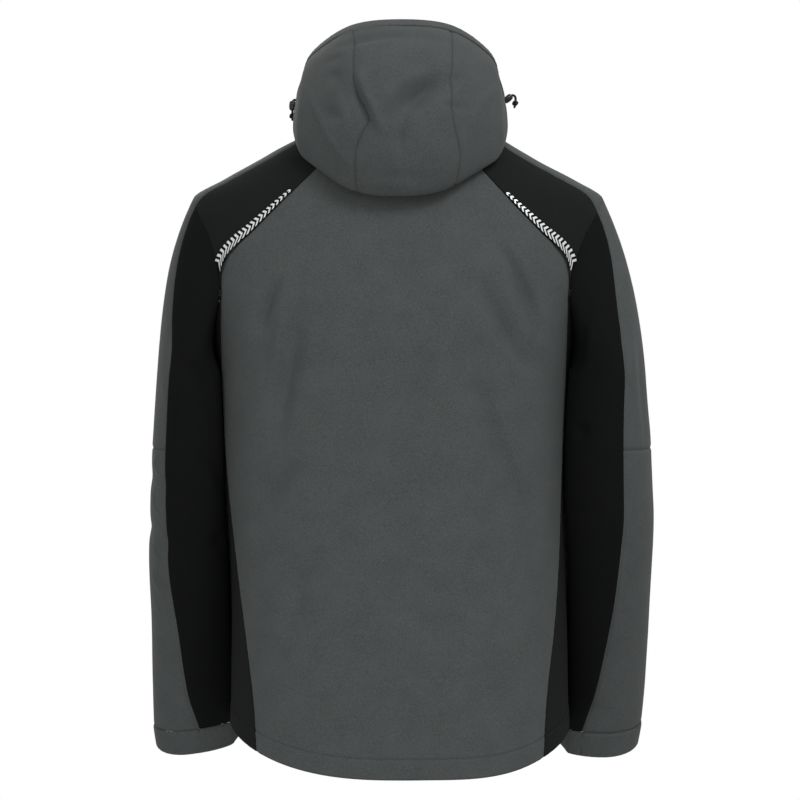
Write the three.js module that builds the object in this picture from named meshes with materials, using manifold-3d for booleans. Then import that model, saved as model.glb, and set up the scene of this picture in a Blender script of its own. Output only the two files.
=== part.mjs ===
// A hooded softshell jacket in the shape that it has when worn, with nobody in it. Every panel is a
// wall of cloth over one of three smooth surfaces: the body, the sleeves and the hood.
// Millimetres, +Z up. The front faces -Y and the wearer's left is +X. The origin is the middle of the
// neck, level with the neck ends of the shoulder seams.
import * as THREE from "three";
import { mergeVertices } from "three/addons/utils/BufferGeometryUtils.js";
import Module from "manifold-3d";

// Driving dimensions
const CLOTH = 2; // softshell bonded to fleece
const SEAM_GAP = 0.3;
const HEM_SIDE_Z = -708;
const HEM_BACK_DROP = 51;
const HEM_FRONT_DROP = 14;
const HEM_CURVE = 1.55;
const NECK = { side: 80, back: 79, front: 88 };
const ARMHOLE = { top: -79, bottom: -283, front: 64, dent: 0.2 };
const ARMHOLE_JOIN = 98; // degrees round the armhole, from the shoulder towards the back, to the back seam
const ARMHOLE_STRIP = { left: 30, right: 38 }; // and to the seam of the grey strip on the shoulder
const ARMHOLE_UNDER = 195; // and past the underarm to the front seam
const SLEEVE_SEAM_FRONT = 232;
const ELBOW_Z = -381;
const COLLAR_HEIGHT = { back: 58, front: 86 };
const COLLAR_OFF_NECK = 0.9;
const BAND_WIDTH = 17; // turned edge of the hood that the cord runs in
const BAND_THICK = 4.2;
const TAPE_THICK = 0.5;
const ZIP = { teeth: 6.4, teethThick: 2.6, tape: 30, tapeThick: 0.8, sliderDrop: -10 };
const CORD_DIAMETER = 3;

const GREY = { color: 0x4b504f, roughness: 0.82, metalness: 0 };
const BLACK = { color: 0x141515, roughness: 0.85, metalness: 0 };
const SILVER = { color: 0xb9bcbd, roughness: 0.4, metalness: 0.2 };
const PLASTIC = { color: 0x101011, roughness: 0.5, metalness: 0 };

// Rings of the body from below the hem to the neck: half width at the side, depth to the back and to
// the front, and how square the ring is (2 is an ellipse).
const BODY = [
  { z: -775, side: 204, back: 151, front: 141, square: 2.5 },
  { z: -650, side: 201, back: 146, front: 139, square: 2.5 },
  { z: -520, side: 200, back: 139, front: 136, square: 2.5 },
  { z: -400, side: 203, back: 135, front: 138, square: 2.5 },
  { z: -300, side: 209, back: 134, front: 141, square: 2.5 },
  { z: -236, side: 222, back: 132, front: 138, square: 2.4 },
  { z: -186, side: 240.5, back: 127, front: 128, square: 2.25 },
  { z: -146, side: 254.5, back: 120, front: 115, square: 2.2 },
  { z: -111, side: 257, back: 111, front: 102, square: 2.2 },
  { z: -89, side: 250.5, back: 104, front: 94, square: 2.2 },
  { z: -79, side: 243, back: 100.3, front: 90.3, square: 2.2 },
  { z: -61, side: 212.5, back: 94.5, front: 84, square: 2.2 },
  { z: -37, side: 168, back: 87, front: 76, square: 2.2 },
  { z: -21, side: 140, back: 81, front: 70, square: 2.2 },
  { z: -11, side: 119, back: 77, front: 66.5, square: 2.2 },
  { z: 0, side: 80, back: 72, front: 62, square: 2.2 },
  { z: 4, side: 62, back: 70, front: 60, square: 2.2 },
];

// The coat hangs a little to the wearer's left of the neck, most at the chest, and its hem falls lower
// on the right.
const SWAY = [
  { z: -760, x: 0 },
  { z: -620, x: 0.5 },
  { z: -520, x: 2.5 },
  { z: -430, x: 6 },
  { z: -330, x: 7.5 },
  { z: -240, x: 7 },
  { z: -180, x: 5.5 },
  { z: -130, x: 3.5 },
  { z: -70, x: 1.5 },
  { z: -20, x: 0.3 },
  { z: 0, x: 0 },
];
const HEM_RIGHT = { drop: 7, from: 20, to: 150, above: 620 };

// How far each shoulder slopes below its ring, from the wearer's right to the left.
const SHOULDERS = [
  { x: -260, drop: 1.2 },
  { x: -205, drop: 2.4 },
  { x: -170, drop: 3.8 },
  { x: -135, drop: 4 },
  { x: -100, drop: 1.8 },
  { x: -75, drop: 0 },
  { x: 140, drop: 0 },
  { x: 190, drop: 1.6 },
  { x: 215, drop: 2.6 },
  { x: 260, drop: 1 },
];
const SHOULDER_FADE = { below: -170, above: -90, neckBelow: -25, neckAbove: 0 };

// Seam between the back and the black panels: its distance from the middle.
const BACK_SEAM = [
  { z: -775, x: 164 },
  { z: -735, x: 166.5 },
  { z: -678, x: 171 },
  { z: -609, x: 180 },
  { z: -529, x: 189 },
  { z: -421, x: 197.5 },
  { z: -361, x: 201.5 },
  { z: -285, x: 205 },
  { z: -208, x: 204.5 },
  { z: -176, x: 203.5 },
  { z: -161, x: 199.5 },
  { z: -127, x: 167 },
  { z: -92, x: 133.5 },
  { z: -57, x: 99.5 },
  { z: -14, x: 60 },
];

// Rings of a sleeve below the armhole: middle, half width, half depth, how far the ring tips back edge
// down, and how far it leans outer edge down, in degrees. "seam" is where the grey and black panels meet behind, in degrees from
// the outer side towards the back. The right sleeve hangs fuller and further back than the left.
const SLEEVE = {
  left: [
    { z: -300, x: 245, y: 2, wide: 39, deep: 80, tip: 0, lean: 0, seam: 58 },
    { z: -373, x: 248, y: 2, wide: 41.5, deep: 71, tip: 2, lean: 0, seam: 58 },
    { z: -445, x: 252.5, y: -4, wide: 43, deep: 64, tip: 6, lean: 0, seam: 62 },
    { z: -517, x: 255, y: -18, wide: 46, deep: 58.5, tip: 10, lean: 0, seam: 66 },
    { z: -589, x: 254, y: -36, wide: 47.5, deep: 54.5, tip: 12, lean: 0, seam: 76 },
    { z: -661, x: 253.5, y: -55, wide: 49, deep: 51, tip: 12, lean: 3, seam: 86 },
    { z: -713, x: 252.5, y: -68, wide: 49.5, deep: 49, tip: 13, lean: 9, seam: 98 },
    { z: -738, x: 251, y: -73, wide: 48, deep: 47, tip: 20, lean: 9, seam: 102 },
  ],
  right: [
    { z: -300, x: 259, y: 8, wide: 43, deep: 80, tip: 0, lean: 0, seam: 74 },
    { z: -373, x: 261, y: 14, wide: 46.5, deep: 71, tip: 2, lean: 0, seam: 80 },
    { z: -445, x: 261, y: 12, wide: 48, deep: 64, tip: 6, lean: 0, seam: 81 },
    { z: -517, x: 257.5, y: -4, wide: 48.5, deep: 58.5, tip: 10, lean: 0, seam: 86 },
    { z: -589, x: 254, y: -26, wide: 48.5, deep: 54.5, tip: 12, lean: 0, seam: 93 },
    { z: -661, x: 251.5, y: -50, wide: 48, deep: 51, tip: 12, lean: 0, seam: 103 },
    { z: -710, x: 248, y: -66, wide: 48, deep: 49, tip: 13, lean: 0, seam: 114 },
    { z: -735, x: 246, y: -72, wide: 46.5, deep: 47, tip: 20, lean: 0, seam: 118 },
  ],
};
const SLEEVE_OFF_BODY = 2.8; // mm between a hanging sleeve and the body that it lies against
const SLEEVE_PRESSED = 20; // how much further in it would hang if the body weren't there
const CUFF_HEIGHT = 25;

// The hood from the middle of the back (row 0) round to its front end (row 6). Each row leaves the neck
// seam at an angle round the neck, runs out under the pouch, round its fold, and up to the face edge.
const HOOD = [
  { angle: 90, under: [0, 103, -52], fold: [0, 123, -90], low: [0, 146, -47], mid: [0, 149, 18], crown: [0, 126, 85], rim: [0, 80, 120] },
  { angle: 61, under: [47, 95, -40], fold: [53, 114, -83], low: [60, 134, -42], mid: [62, 137, 20], crown: [61, 112, 82], rim: [59, 66, 115] },
  { angle: 31, under: [85, 69, -12], fold: [99, 90, -52], low: [112, 94, -24], mid: [112, 87, 24], crown: [108.5, 62, 69], rim: [103, 30, 91] },
  { angle: 17, under: [98, 46, -6], fold: [114, 74, -36], low: [123, 70, -19], mid: [123, 53, 19], crown: [119.5, 31, 48], rim: [115, 6, 67] },
  { angle: 3, under: [100, 14, 1], fold: [119, 25, -9], low: [126.5, 21, -3], mid: [127, 10, 14], crown: [125, -3, 29], rim: [122, -16, 43] },
  { angle: -27, under: [89, -46, -1], fold: [104, -52, -11], low: [112, -57, -6], mid: [114, -60, 3], crown: [112, -62, 12], rim: [108, -63, 21] },
  { angle: -56, under: [50, -82, -28], fold: [54, -87, -27], low: [57, -90, -22], mid: [59, -91, -16], crown: [59, -91, -8], rim: [58, -90, 0] },
];
const HOOD_COLUMNS = ["neck", "under", "fold", "low", "mid", "crown", "rim"];
// Rows from the middle to the seams of the centre strip. The left one is drawn into a fold.
const HOOD_SEAMS = [
  { column: 0, left: 0.88, right: 1.22 },
  { column: 2, left: 0.88, right: 1.24 },
  { column: 2.9, left: 0.85, right: 1.2 },
  { column: 3.2, left: 0.79, right: 1.13 },
  { column: 3.43, left: 0.68, right: 1.06 },
  { column: 3.62, left: 0.58, right: 1 },
  { column: 3.83, left: 0.66, right: 0.97 },
  { column: 4.03, left: 0.78, right: 0.96 },
  { column: 4.38, left: 0.88, right: 0.96 },
  { column: 5, left: 0.9, right: 0.98 },
  { column: 6, left: 0.97, right: 0.98 },
];
const HOOD_OFF_NECK = 1.4;
const HOOD_LEAVES = new THREE.Vector3(0, 0, 40); // steepens its way out of the neck seam, over the shoulders

// The largest folds: a soft trough (negative) or ridge from one point to another near the surface.
const HOOD_FOLDS = [
  { from: [58, 146, 46], to: [32, 148, -8], wide: 9.5, deep: -9.5 },
  { from: [-60, 140, 50], to: [-4, 149, 8], wide: 13, deep: -8 },
  { from: [16, 149, 42], to: [22, 150, -4], wide: 10, deep: 3 },
  { from: [-2, 149, 4], to: [2, 144, -42], wide: 8, deep: -3 },
  { from: [101, 90, 20], to: [58, 128, -48], wide: 7, deep: 4 },
  { from: [-108, 84, 40], to: [-76, 116, -28], wide: 7, deep: 4 },
  { from: [34, 148, -14], to: [52, 142, -50], wide: 7, deep: -3 },
  { from: [66, 112, 92], to: [-60, 116, 93], wide: 9, deep: -3.5 },
];
const BODY_FOLDS = [
  { from: [150, 104, -190], to: [128, 120, -330], wide: 20, deep: -3 },
  { from: [-146, 104, -186], to: [-120, 122, -310], wide: 20, deep: -3 },
  { from: [196, -60, -300], to: [110, -128, -360], wide: 18, deep: -3.5 },
  { from: [-196, -60, -296], to: [-120, -126, -372], wide: 18, deep: -3.5 },
  { from: [180, -80, -560], to: [90, -128, -600], wide: 22, deep: -3 },
  { from: [-182, -80, -540], to: [-84, -130, -590], wide: 22, deep: -3 },
];
const SLEEVE_FOLDS = {
  left: [
    { from: [296, -30, -404], to: [262, 58, -430], wide: 12, deep: -4 },
    { from: [300, -20, -470], to: [270, 52, -500], wide: 12, deep: -3.5 },
    { from: [230, 60, -330], to: [262, 76, -250], wide: 14, deep: -4 },
    { from: [262, -60, -420], to: [226, -50, -470], wide: 14, deep: -5 },
  ],
  right: [
    { from: [298, -30, -462], to: [266, 56, -494], wide: 12, deep: -4 },
    { from: [292, 0, -300], to: [280, 44, -392], wide: 13, deep: -3.5 },
    { from: [228, 62, -340], to: [258, 78, -262], wide: 14, deep: -4 },
    { from: [262, -60, -410], to: [226, -50, -458], wide: 14, deep: -5 },
  ],
};

// A cord comes out of the turned edge of the hood at each side and falls. Its way after the eyelet, and
// where the stopper and the knot sit along it.
const CORD_ROW = 4.42;
const CORDS = {
  left: {
    route: [[124.4, -35.2, 35.5], [127.4, -36, 40], [130.6, -36.4, 38.8], [131, -36.5, 32.5], [131, -36.5, 26.8], [131, -36.5, 20], [130.9, -36.5, 14]],
    stopper: 5 / 8,
    knot: 7 / 8,
  },
  right: {
    route: [[-125, -35.2, 35.6], [-130.5, -36, 41], [-135, -36.7, 45.3], [-138.6, -37, 45], [-140, -37, 41], [-139.4, -37, 35.5], [-138.4, -37, 29.5]],
    stopper: 3 / 8,
    knot: 7 / 8,
  },
};
const STOPPER = { long: 11, wide: 8.4, bore: 4.2 };
const KNOT = { long: 6, wide: 8, bore: 3.6 };
const EYELET = { wide: 9, hole: 5.2, thick: 0.8 };

const rad = Math.PI / 180;
const lerp = THREE.MathUtils.lerp;
const vector = (p) => new THREE.Vector3(...p);

// A column of a table as a smooth function of another column, with no overshoot between rows.
function through(table, key, name) {
  const rows = [...table].sort((a, b) => a[key] - b[key]);
  const x = rows.map((row) => row[key]);
  const y = rows.map((row) => row[name]);
  const slope = x.slice(1).map((_, i) => (y[i + 1] - y[i]) / (x[i + 1] - x[i]));
  const tangent = x.map((_, i) => {
    const [before, after] = [slope[i - 1] ?? slope[0], slope[i] ?? slope[i - 1]];
    return before * after <= 0 ? 0 : (2 * before * after) / (before + after);
  });
  return (at) => {
    let i = 0;
    while (i < x.length - 2 && at > x[i + 1]) i++;
    const h = x[i + 1] - x[i];
    const t = THREE.MathUtils.clamp((at - x[i]) / h, 0, 1);
    const outside = at < x[0] ? (at - x[0]) * tangent[0] : Math.max(0, at - x.at(-1)) * tangent.at(-1);
    const [t2, t3] = [t * t, t * t * t];
    return (
      (2 * t3 - 3 * t2 + 1) * y[i] +
      (t3 - 2 * t2 + t) * h * tangent[i] +
      (3 * t2 - 2 * t3) * y[i + 1] +
      (t3 - t2) * h * tangent[i + 1] +
      outside
    );
  };
}
const ring = Object.fromEntries(["side", "back", "front", "square"].map((k) => [k, through(BODY, "z", k)]));
const seamX = through(BACK_SEAM, "z", "x");
const arms = Object.fromEntries(
  Object.entries(SLEEVE).map(([side, rows]) => [
    side,
    Object.fromEntries(["x", "y", "wide", "deep", "tip", "lean", "seam"].map((k) => [k, through(rows, "z", k)])),
  ]),
);
const swayAt = through(SWAY, "z", "x");
const shoulderDrop = through(SHOULDERS, "x", "drop");

// How far the folds push a point of the surface out (or in, where it is negative).
function foldAt(p, folds) {
  let push = 0;
  for (const { from, to, wide, deep } of folds) {
    const line = new THREE.Line3(vector(from), vector(to));
    const along = THREE.MathUtils.clamp(line.closestPointToPointParameter(p, false), 0, 1);
    const away = line.at(along, new THREE.Vector3()).distanceTo(p);
    push += deep * Math.exp(-((away / wide) ** 2)) * (0.35 + 0.65 * Math.sin(Math.PI * along));
  }
  return push;
}

// A surface from its bare form: point and outward normal at two parameters, with its folds pushed in.
function surfaceOf(bare, steps, folds, outward) {
  const normal = (a, b) => {
    const [da, db] = steps;
    const across = bare(a + da, b).sub(bare(a - da, b));
    const along = bare(a, b + db).sub(bare(a, b - db));
    const n = across.cross(along).normalize();
    return n.multiplyScalar(Math.sign(n.dot(outward(a, b, bare(a, b)))) || 1);
  };
  const point = (a, b) => {
    const p = bare(a, b);
    return p.clone().addScaledVector(normal(a, b), foldAt(p, folds));
  };
  return { point, normal };
}

// The body: u is the angle from the side towards the back (negative to the front), in degrees.
function bodyBare(u, z) {
  const power = 2 / ring.square(z);
  const [c, s] = [Math.cos(u * rad), Math.sin(u * rad)];
  const depth = s >= 0 ? ring.back(z) : ring.front(z);
  return new THREE.Vector3(
    ring.side(z) * Math.sign(c) * Math.abs(c) ** power,
    depth * Math.sign(s) * Math.abs(s) ** power,
    z,
  );
}
const body = surfaceOf(bodyBare, [0.4, 1], BODY_FOLDS, (u, z, p) => new THREE.Vector3(p.x, p.y, 60));

// Angle on the ring at z of a point at the distance x from the middle, or at the depth y.
const angleOfX = (x, z) => Math.acos(Math.min(1, x / ring.side(z)) ** (ring.square(z) / 2)) / rad;
function angleOfY(y, z) {
  const depth = y >= 0 ? ring.back(z) : ring.front(z);
  return (Math.sign(y) * Math.asin(Math.min(1, Math.abs(y) / depth) ** (ring.square(z) / 2))) / rad;
}
const hemZ = (u) => {
  const s = Math.sin(u * rad);
  return HEM_SIDE_Z - (s > 0 ? HEM_BACK_DROP : HEM_FRONT_DROP) * Math.abs(s) ** HEM_CURVE;
};
const backSeamAt = (z) => ({ u: angleOfX(seamX(z), z), z });

// The neck seam over the angle from the side towards the back: an egg from above, laid on the body.
function neckAt(angle) {
  const x = NECK.side * Math.cos(angle * rad);
  const s = Math.sin(angle * rad);
  const y = (s >= 0 ? NECK.back : NECK.front) * s;
  let [low, high] = [-140, 6];
  for (let i = 0; i < 40; i++) {
    const z = (low + high) / 2;
    const depth = y >= 0 ? ring.back(z) : ring.front(z);
    const n = ring.square(z);
    if ((Math.abs(x) / ring.side(z)) ** n + (Math.abs(y) / depth) ** n < 1) low = z;
    else high = z;
  }
  const u = angleOfY(y, low);
  return { u: x < 0 ? 180 - u : u, z: low };
}

// The armhole: an egg from the side, in degrees from the shoulder towards the back, laid on the body.
// It passes through the back seam at ARMHOLE_JOIN, and cuts in below it.
const armholeZ = (turn) =>
  (ARMHOLE.top + ARMHOLE.bottom) / 2 + ((ARMHOLE.top - ARMHOLE.bottom) / 2) * Math.cos(turn * rad);
const joinAt = backSeamAt(armholeZ(ARMHOLE_JOIN));
const armholeBack = bodyBare(joinAt.u, joinAt.z).y / Math.sin(ARMHOLE_JOIN * rad);
function armholeAt(turn) {
  const s = Math.sin(turn * rad);
  const z = armholeZ(turn);
  const below = THREE.MathUtils.clamp((turn - ARMHOLE_JOIN) / (180 - ARMHOLE_JOIN), 0, 1);
  const dent = 1 - ARMHOLE.dent * Math.sin(Math.PI * below) ** 2;
  return { u: angleOfY((s >= 0 ? armholeBack * dent : ARMHOLE.front) * s, z), z };
}
const armholePoint = (turn) => {
  const { u, z } = armholeAt(turn);
  return body.point(u, z);
};

// A sleeve: turn is the angle from the outer side towards the back. Rows 0 to 1 run from the armhole to
// the first ring, and rows above 1 run down the arm, ROW_MM to a row.
const ROW_MM = 100;
const FIRST_RING_Z = SLEEVE.left[0].z;
const rowOfZ = (z) => 1 + (FIRST_RING_Z - z) / ROW_MM;
// A point too near the body moves out to the side of it.
function offBody(p) {
  const n = ring.square(p.z);
  const share = Math.abs(p.y) / ((p.y > 0 ? ring.back(p.z) : ring.front(p.z)) + SLEEVE_OFF_BODY);
  if (share >= 1) return p;
  const least = (ring.side(p.z) + SLEEVE_OFF_BODY) * (1 - share ** n) ** (1 / n);
  const soft = 3;
  p.x = least + (p.x - least + Math.hypot(p.x - least, soft)) / 2 - soft / 4;
  return p;
}
function sleeveRing(arm, turn, z) {
  const [c, s, tip] = [Math.cos(turn * rad), Math.sin(turn * rad), arm.tip(z) * rad];
  return offBody(new THREE.Vector3(
    arm.x(z) + (arm.wide(z) + (c < 0 ? SLEEVE_PRESSED : 0)) * c,
    arm.y(z) + arm.deep(z) * s * Math.cos(tip),
    z - arm.deep(z) * s * Math.sin(tip) - arm.wide(z) * c * Math.sin(arm.lean(z) * rad),
  ));
}
function sleeveBare(arm, turn, row) {
  if (row >= 1) return sleeveRing(arm, turn, FIRST_RING_Z - (row - 1) * ROW_MM);
  const start = armholePoint(turn);
  const end = sleeveRing(arm, turn, FIRST_RING_Z);
  const reach = start.distanceTo(end);
  const [c, s] = [Math.cos(turn * rad), Math.sin(turn * rad)];
  const leave = new THREE.Vector3(0.28 + (c > 0 ? 0.17 : 0.02) * c, 0.22 * s, -0.92).normalize().multiplyScalar(reach);
  const arrive = sleeveRing(arm, turn, FIRST_RING_Z - 4).sub(end).normalize().multiplyScalar(reach);
  const [t, t2, t3] = [row, row * row, row ** 3];
  return start
    .multiplyScalar(2 * t3 - 3 * t2 + 1)
    .addScaledVector(leave, t3 - 2 * t2 + t)
    .addScaledVector(end, 3 * t2 - 2 * t3)
    .addScaledVector(arrive, t3 - t2);
}
const sleeves = Object.fromEntries(
  Object.entries(SLEEVE_FOLDS).map(([side, folds]) => [
    side,
    surfaceOf(
      (turn, row) => sleeveBare(arms[side], turn, Math.max(row, 0)),
      [2, 0.02],
      folds,
      (turn, row) => new THREE.Vector3(Math.cos(turn * rad), Math.sin(turn * rad), row < 1 ? 0.4 : 0),
    ),
  ]),
);

// The hood: row from 0 at the middle of the back to 5 at the front end, negative on the wearer's right,
// and column from 0 at the neck to 6 at the face edge.
function spline(a, b, c, d, t) {
  return 0.5 * (2 * b + (c - a) * t + (2 * a - 5 * b + 4 * c - d) * t * t + (3 * b - a - 3 * c + d) * t ** 3);
}
const hoodAngle = through(HOOD.map(({ angle }, row) => ({ row, angle })), "row", "angle");
function hoodNeck(row) {
  const { u, z } = neckAt(hoodAngle(Math.min(Math.abs(row), HOOD.length - 1)));
  const p = body.point(u, z).addScaledVector(body.normal(u, z), HOOD_OFF_NECK);
  return row < 0 ? p.setX(-p.x) : p;
}
// A column of the table, taken past its first and last rows in a straight line.
function hoodKnot(row, column) {
  const last = HOOD.length - 1;
  if (Math.abs(row) > last) {
    const end = hoodKnot(Math.sign(row) * last, column);
    return end.clone().multiplyScalar(2).sub(hoodKnot(Math.sign(row) * (last - 1), column));
  }
  const [x, y, z] = HOOD[Math.abs(row)][HOOD_COLUMNS[column]];
  return new THREE.Vector3(row < 0 ? -x : x, y, z);
}
function splinePoint(points, t) {
  return vector(["x", "y", "z"].map((k) => spline(...points.map((p) => p[k]), t)));
}
function hoodLine(row, column) {
  const end = HOOD_COLUMNS.length - 1;
  if (column === 0) return hoodNeck(row);
  if (column < 0) return hoodNeck(row).multiplyScalar(2).sub(hoodLine(row, 1)).sub(HOOD_LEAVES);
  if (column > end) return hoodLine(row, end).multiplyScalar(2).sub(hoodLine(row, end - 1));
  const i = Math.floor(row);
  return splinePoint([-1, 0, 1, 2].map((di) => hoodKnot(i + di, column)), row - i);
}
function hoodBare(row, column) {
  const j = Math.floor(column);
  return splinePoint([-1, 0, 1, 2].map((dj) => hoodLine(row, j + dj)), column - j);
}
const HOOD_MIDDLE = new THREE.Vector3(0, 40, 10);
const hoodCross = (row, column) =>
  hoodBare(row, Math.min(column, 5.9)).sub(hoodBare(row, Math.min(column, 5.9) - 0.05));
const hood = surfaceOf(hoodBare, [0.03, 0.03], HOOD_FOLDS, (row, column, p) => {
  const round = hoodBare(row + 0.05, column).sub(hoodBare(row - 0.05, column));
  return round.cross(hoodCross(row, column)).negate().multiplyScalar(HOOD_TURN);
});
const HOOD_TURN = Math.sign(
  hoodBare(0.05, 4).sub(hoodBare(-0.05, 4)).cross(hoodCross(0, 4)).negate()
    .dot(hoodBare(0, 4).sub(HOOD_MIDDLE)),
);
// Column at which the turned edge starts, BAND_WIDTH short of the face edge.
function bandStart(row) {
  let column = HOOD_COLUMNS.length - 1;
  let left = BAND_WIDTH;
  while (left > 0) {
    left -= hoodBare(row, column).distanceTo(hoodBare(row, column - 0.02));
    column -= 0.02;
  }
  return column;
}

// The collar: angle as in neckAt, and height from 0 to 1. It stands higher in front, under the chin.
const collarHeight = (angle) => lerp(COLLAR_HEIGHT.front, COLLAR_HEIGHT.back, (1 + Math.sin(angle * rad)) / 2);
const collar = surfaceOf(
  (angle, height) => {
    const { u, z } = neckAt(angle);
    const foot = bodyBare(u, z);
    const inset = 1.7 + 2.8 * height;
    const lean = Math.sin(angle * rad) < 0 ? 1 : 1 - 0.04 * height;
    const flat = new THREE.Vector3(foot.x, foot.y, 0);
    flat.setLength((flat.length() - inset) * lean);
    return new THREE.Vector3(flat.x, flat.y, foot.z + COLLAR_OFF_NECK + collarHeight(angle) * height);
  },
  [1, 0.05],
  [],
  (angle, height, p) => new THREE.Vector3(p.x, p.y, 0),
);

// A closed body from a grid of outer points and the inner points behind them.
function shell(outer, inner, closed) {
  const [across, along] = [outer.length, outer[0].length];
  const position = [...outer.flat(), ...inner.flat()].flatMap((p) => p.toArray());
  const out = (i, j) => (i % across) * along + j;
  const back = (i, j) => across * along + out(i, j);
  const faces = [];
  const quad = (a, b, c, d) => faces.push(a, b, c, a, c, d);
  const cells = closed ? across : across - 1;
  for (let i = 0; i < cells; i++) {
    for (let j = 0; j < along - 1; j++) {
      quad(out(i, j), out(i + 1, j), out(i + 1, j + 1), out(i, j + 1));
      quad(back(i, j), back(i, j + 1), back(i + 1, j + 1), back(i + 1, j));
    }
    quad(out(i, 0), back(i, 0), back(i + 1, 0), out(i + 1, 0));
    const e = along - 1;
    quad(out(i, e), out(i + 1, e), back(i + 1, e), back(i, e));
  }
  for (let j = 0; j < along - 1 && !closed; j++) {
    quad(out(0, j), out(0, j + 1), back(0, j + 1), back(0, j));
    const e = across - 1;
    quad(out(e, j), back(e, j), back(e, j + 1), out(e, j + 1));
  }
  return new THREE.BufferGeometry()
    .setAttribute("position", new THREE.Float32BufferAttribute(position, 3))
    .setIndex(faces);
}
// Turns the faces round where they face inwards.
function facingOut(geometry) {
  const [p, index] = [geometry.attributes.position, geometry.index];
  const corner = (i) => new THREE.Vector3().fromBufferAttribute(p, index.getX(i));
  let volume = 0;
  for (let i = 0; i < index.count; i += 3) volume += corner(i).dot(corner(i + 1).cross(corner(i + 2)));
  for (let i = 0; i < index.count && volume < 0; i += 3) {
    const swap = index.getX(i + 1);
    index.setX(i + 1, index.getX(i + 2));
    index.setX(i + 2, swap);
  }
  return geometry;
}

// A wall of cloth. patch(s, t) gives the surface's two parameters; s and t run over the stops given.
// The edges draw back by half a seam gap. edgeInwards(s, t) gives the way into the wall where two
// surfaces meet at an angle.
function clothWall(surface, patch, acrossStops, alongStops, options = {}) {
  const { thick = CLOTH, out = 0, closed = false, edgeInwards = () => null } = options;
  const at = (s, t) => surface.point(...patch(s, t));
  const drawn = (stops, k, length) => {
    if (k > 0 && k < stops.length - 1) return stops[k];
    const next = stops[k === 0 ? 1 : k - 1];
    return lerp(stops[k], next, Math.min(0.6, SEAM_GAP / 2 / length(stops[k], next)));
  };
  const [outer, inner] = [[], []];
  acrossStops.forEach((s, i) => {
    outer.push([]);
    inner.push([]);
    alongStops.forEach((t, j) => {
      const across = closed ? s : drawn(acrossStops, i, (a, b) => at(a, t).distanceTo(at(b, t)));
      const along = drawn(alongStops, j, (a, b) => at(s, a).distanceTo(at(s, b)));
      const place = patch(across, along);
      const normal = surface.normal(...place);
      const p = surface.point(...place).addScaledVector(normal, out);
      const inwards = edgeInwards(s, t) ?? normal.clone().negate();
      outer[i].push(p);
      inner[i].push(p.clone().addScaledVector(inwards, thick));
    });
  });
  return shell(outer, inner, closed);
}
const range = (count, from = 0, to = 1) =>
  Array.from({ length: count + 1 }, (_, i) => lerp(from, to, i / count));
// The value at a place between two entries of a list.
function between(list, t) {
  const i = THREE.MathUtils.clamp(Math.floor(t), 0, list.length - 2);
  return lerp(list[i], list[i + 1], t - i);
}

// A patch of the body between a list of places up its near edge and a list up its far edge, with one
// row for each place. The hem, and the top edge where it is given, follow their own curves.
function bodyPatch(near, far, top) {
  const on = (edge, key, t) => between(edge.map((place) => place[key]), t);
  const rows = near.length - 1;
  return (s, t) => {
    const u = lerp(on(near, "u", t), on(far, "u", t), s);
    const z = lerp(on(near, "z", t), on(far, "z", t), s);
    const footU = lerp(near[0].u, far[0].u, s);
    const toHem = near[0].hem ? hemZ(footU) - lerp(near[0].z, far[0].z, s) : 0;
    const down = Math.max(0, 1 - t / 3) ** 2;
    const up = Math.max(0, 1 - (rows - t) / 5) ** 2;
    const crown = top ? top(s) : null;
    const toCrownU = crown ? crown.u - lerp(near[rows].u, far[rows].u, s) : 0;
    const toCrownZ = crown ? crown.z - lerp(near[rows].z, far[rows].z, s) : 0;
    return [u + up * toCrownU, z + down * toHem + up * toCrownZ];
  };
}

// Places shared by neighbouring panels, so that their edges match along every seam.
const SIDE_ROWS = 8;
const NECK_BACK = 50; // degrees round the neck to the back seam
const NECK_STRIP = 30; // and to the seam of the grey strip
const ZIP_EDGE = ZIP.teeth / 2 + SEAM_GAP;
const underarm = armholeAt(ARMHOLE_UNDER);
const hemPlace = (u) => ({ u, z: hemZ(u), hem: true });
const frontSeam = range(SIDE_ROWS).map((t) => {
  const u = lerp(-38, underarm.u, t ** 0.8);
  return t === 0 ? hemPlace(u) : { u, z: lerp(hemZ(u), underarm.z, t) };
});
const turnsUnder = [...range(7, ARMHOLE_UNDER, 112), ARMHOLE_JOIN + 2.5, ARMHOLE_JOIN];
const turnsYoke = (side) => [ARMHOLE_JOIN, ARMHOLE_JOIN - 2.5, ...range(8, 88, ARMHOLE_STRIP[side])];
const turnsFront = (side) => range(13, ARMHOLE_UNDER, 360 + ARMHOLE_STRIP[side]);
const seamFootU = angleOfX(seamX(-736), -736);
const seamBesideArm = turnsUnder.map((turn) => {
  const share = (turn - ARMHOLE_JOIN) / (ARMHOLE_UNDER - ARMHOLE_JOIN);
  return backSeamAt(armholeZ(turn) - 18 * share ** 4);
});
const backSeamLow = [
  hemPlace(seamFootU),
  ...range(SIDE_ROWS, hemZ(seamFootU), seamBesideArm[0].z).slice(1, -1).map(backSeamAt),
  ...seamBesideArm,
];
const backSeamHigh = [joinAt, ...[-191, -174, -160, -138, -110, -80, -46].map(backSeamAt), neckAt(NECK_BACK)];
const neckFoot = neckAt(-88);
const centreZ = [...range(7, hemZ(-88), -400), -335, -270, -215, -165, -118, neckFoot.z];

// The way into the wall shared by the body and the sleeve along the armhole.
function armholeInwards(turn, side) {
  const { u, z } = armholeAt(turn);
  return body.normal(u, z).add(sleeves[side].normal(turn, 0.03)).normalize().negate();
}

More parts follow.
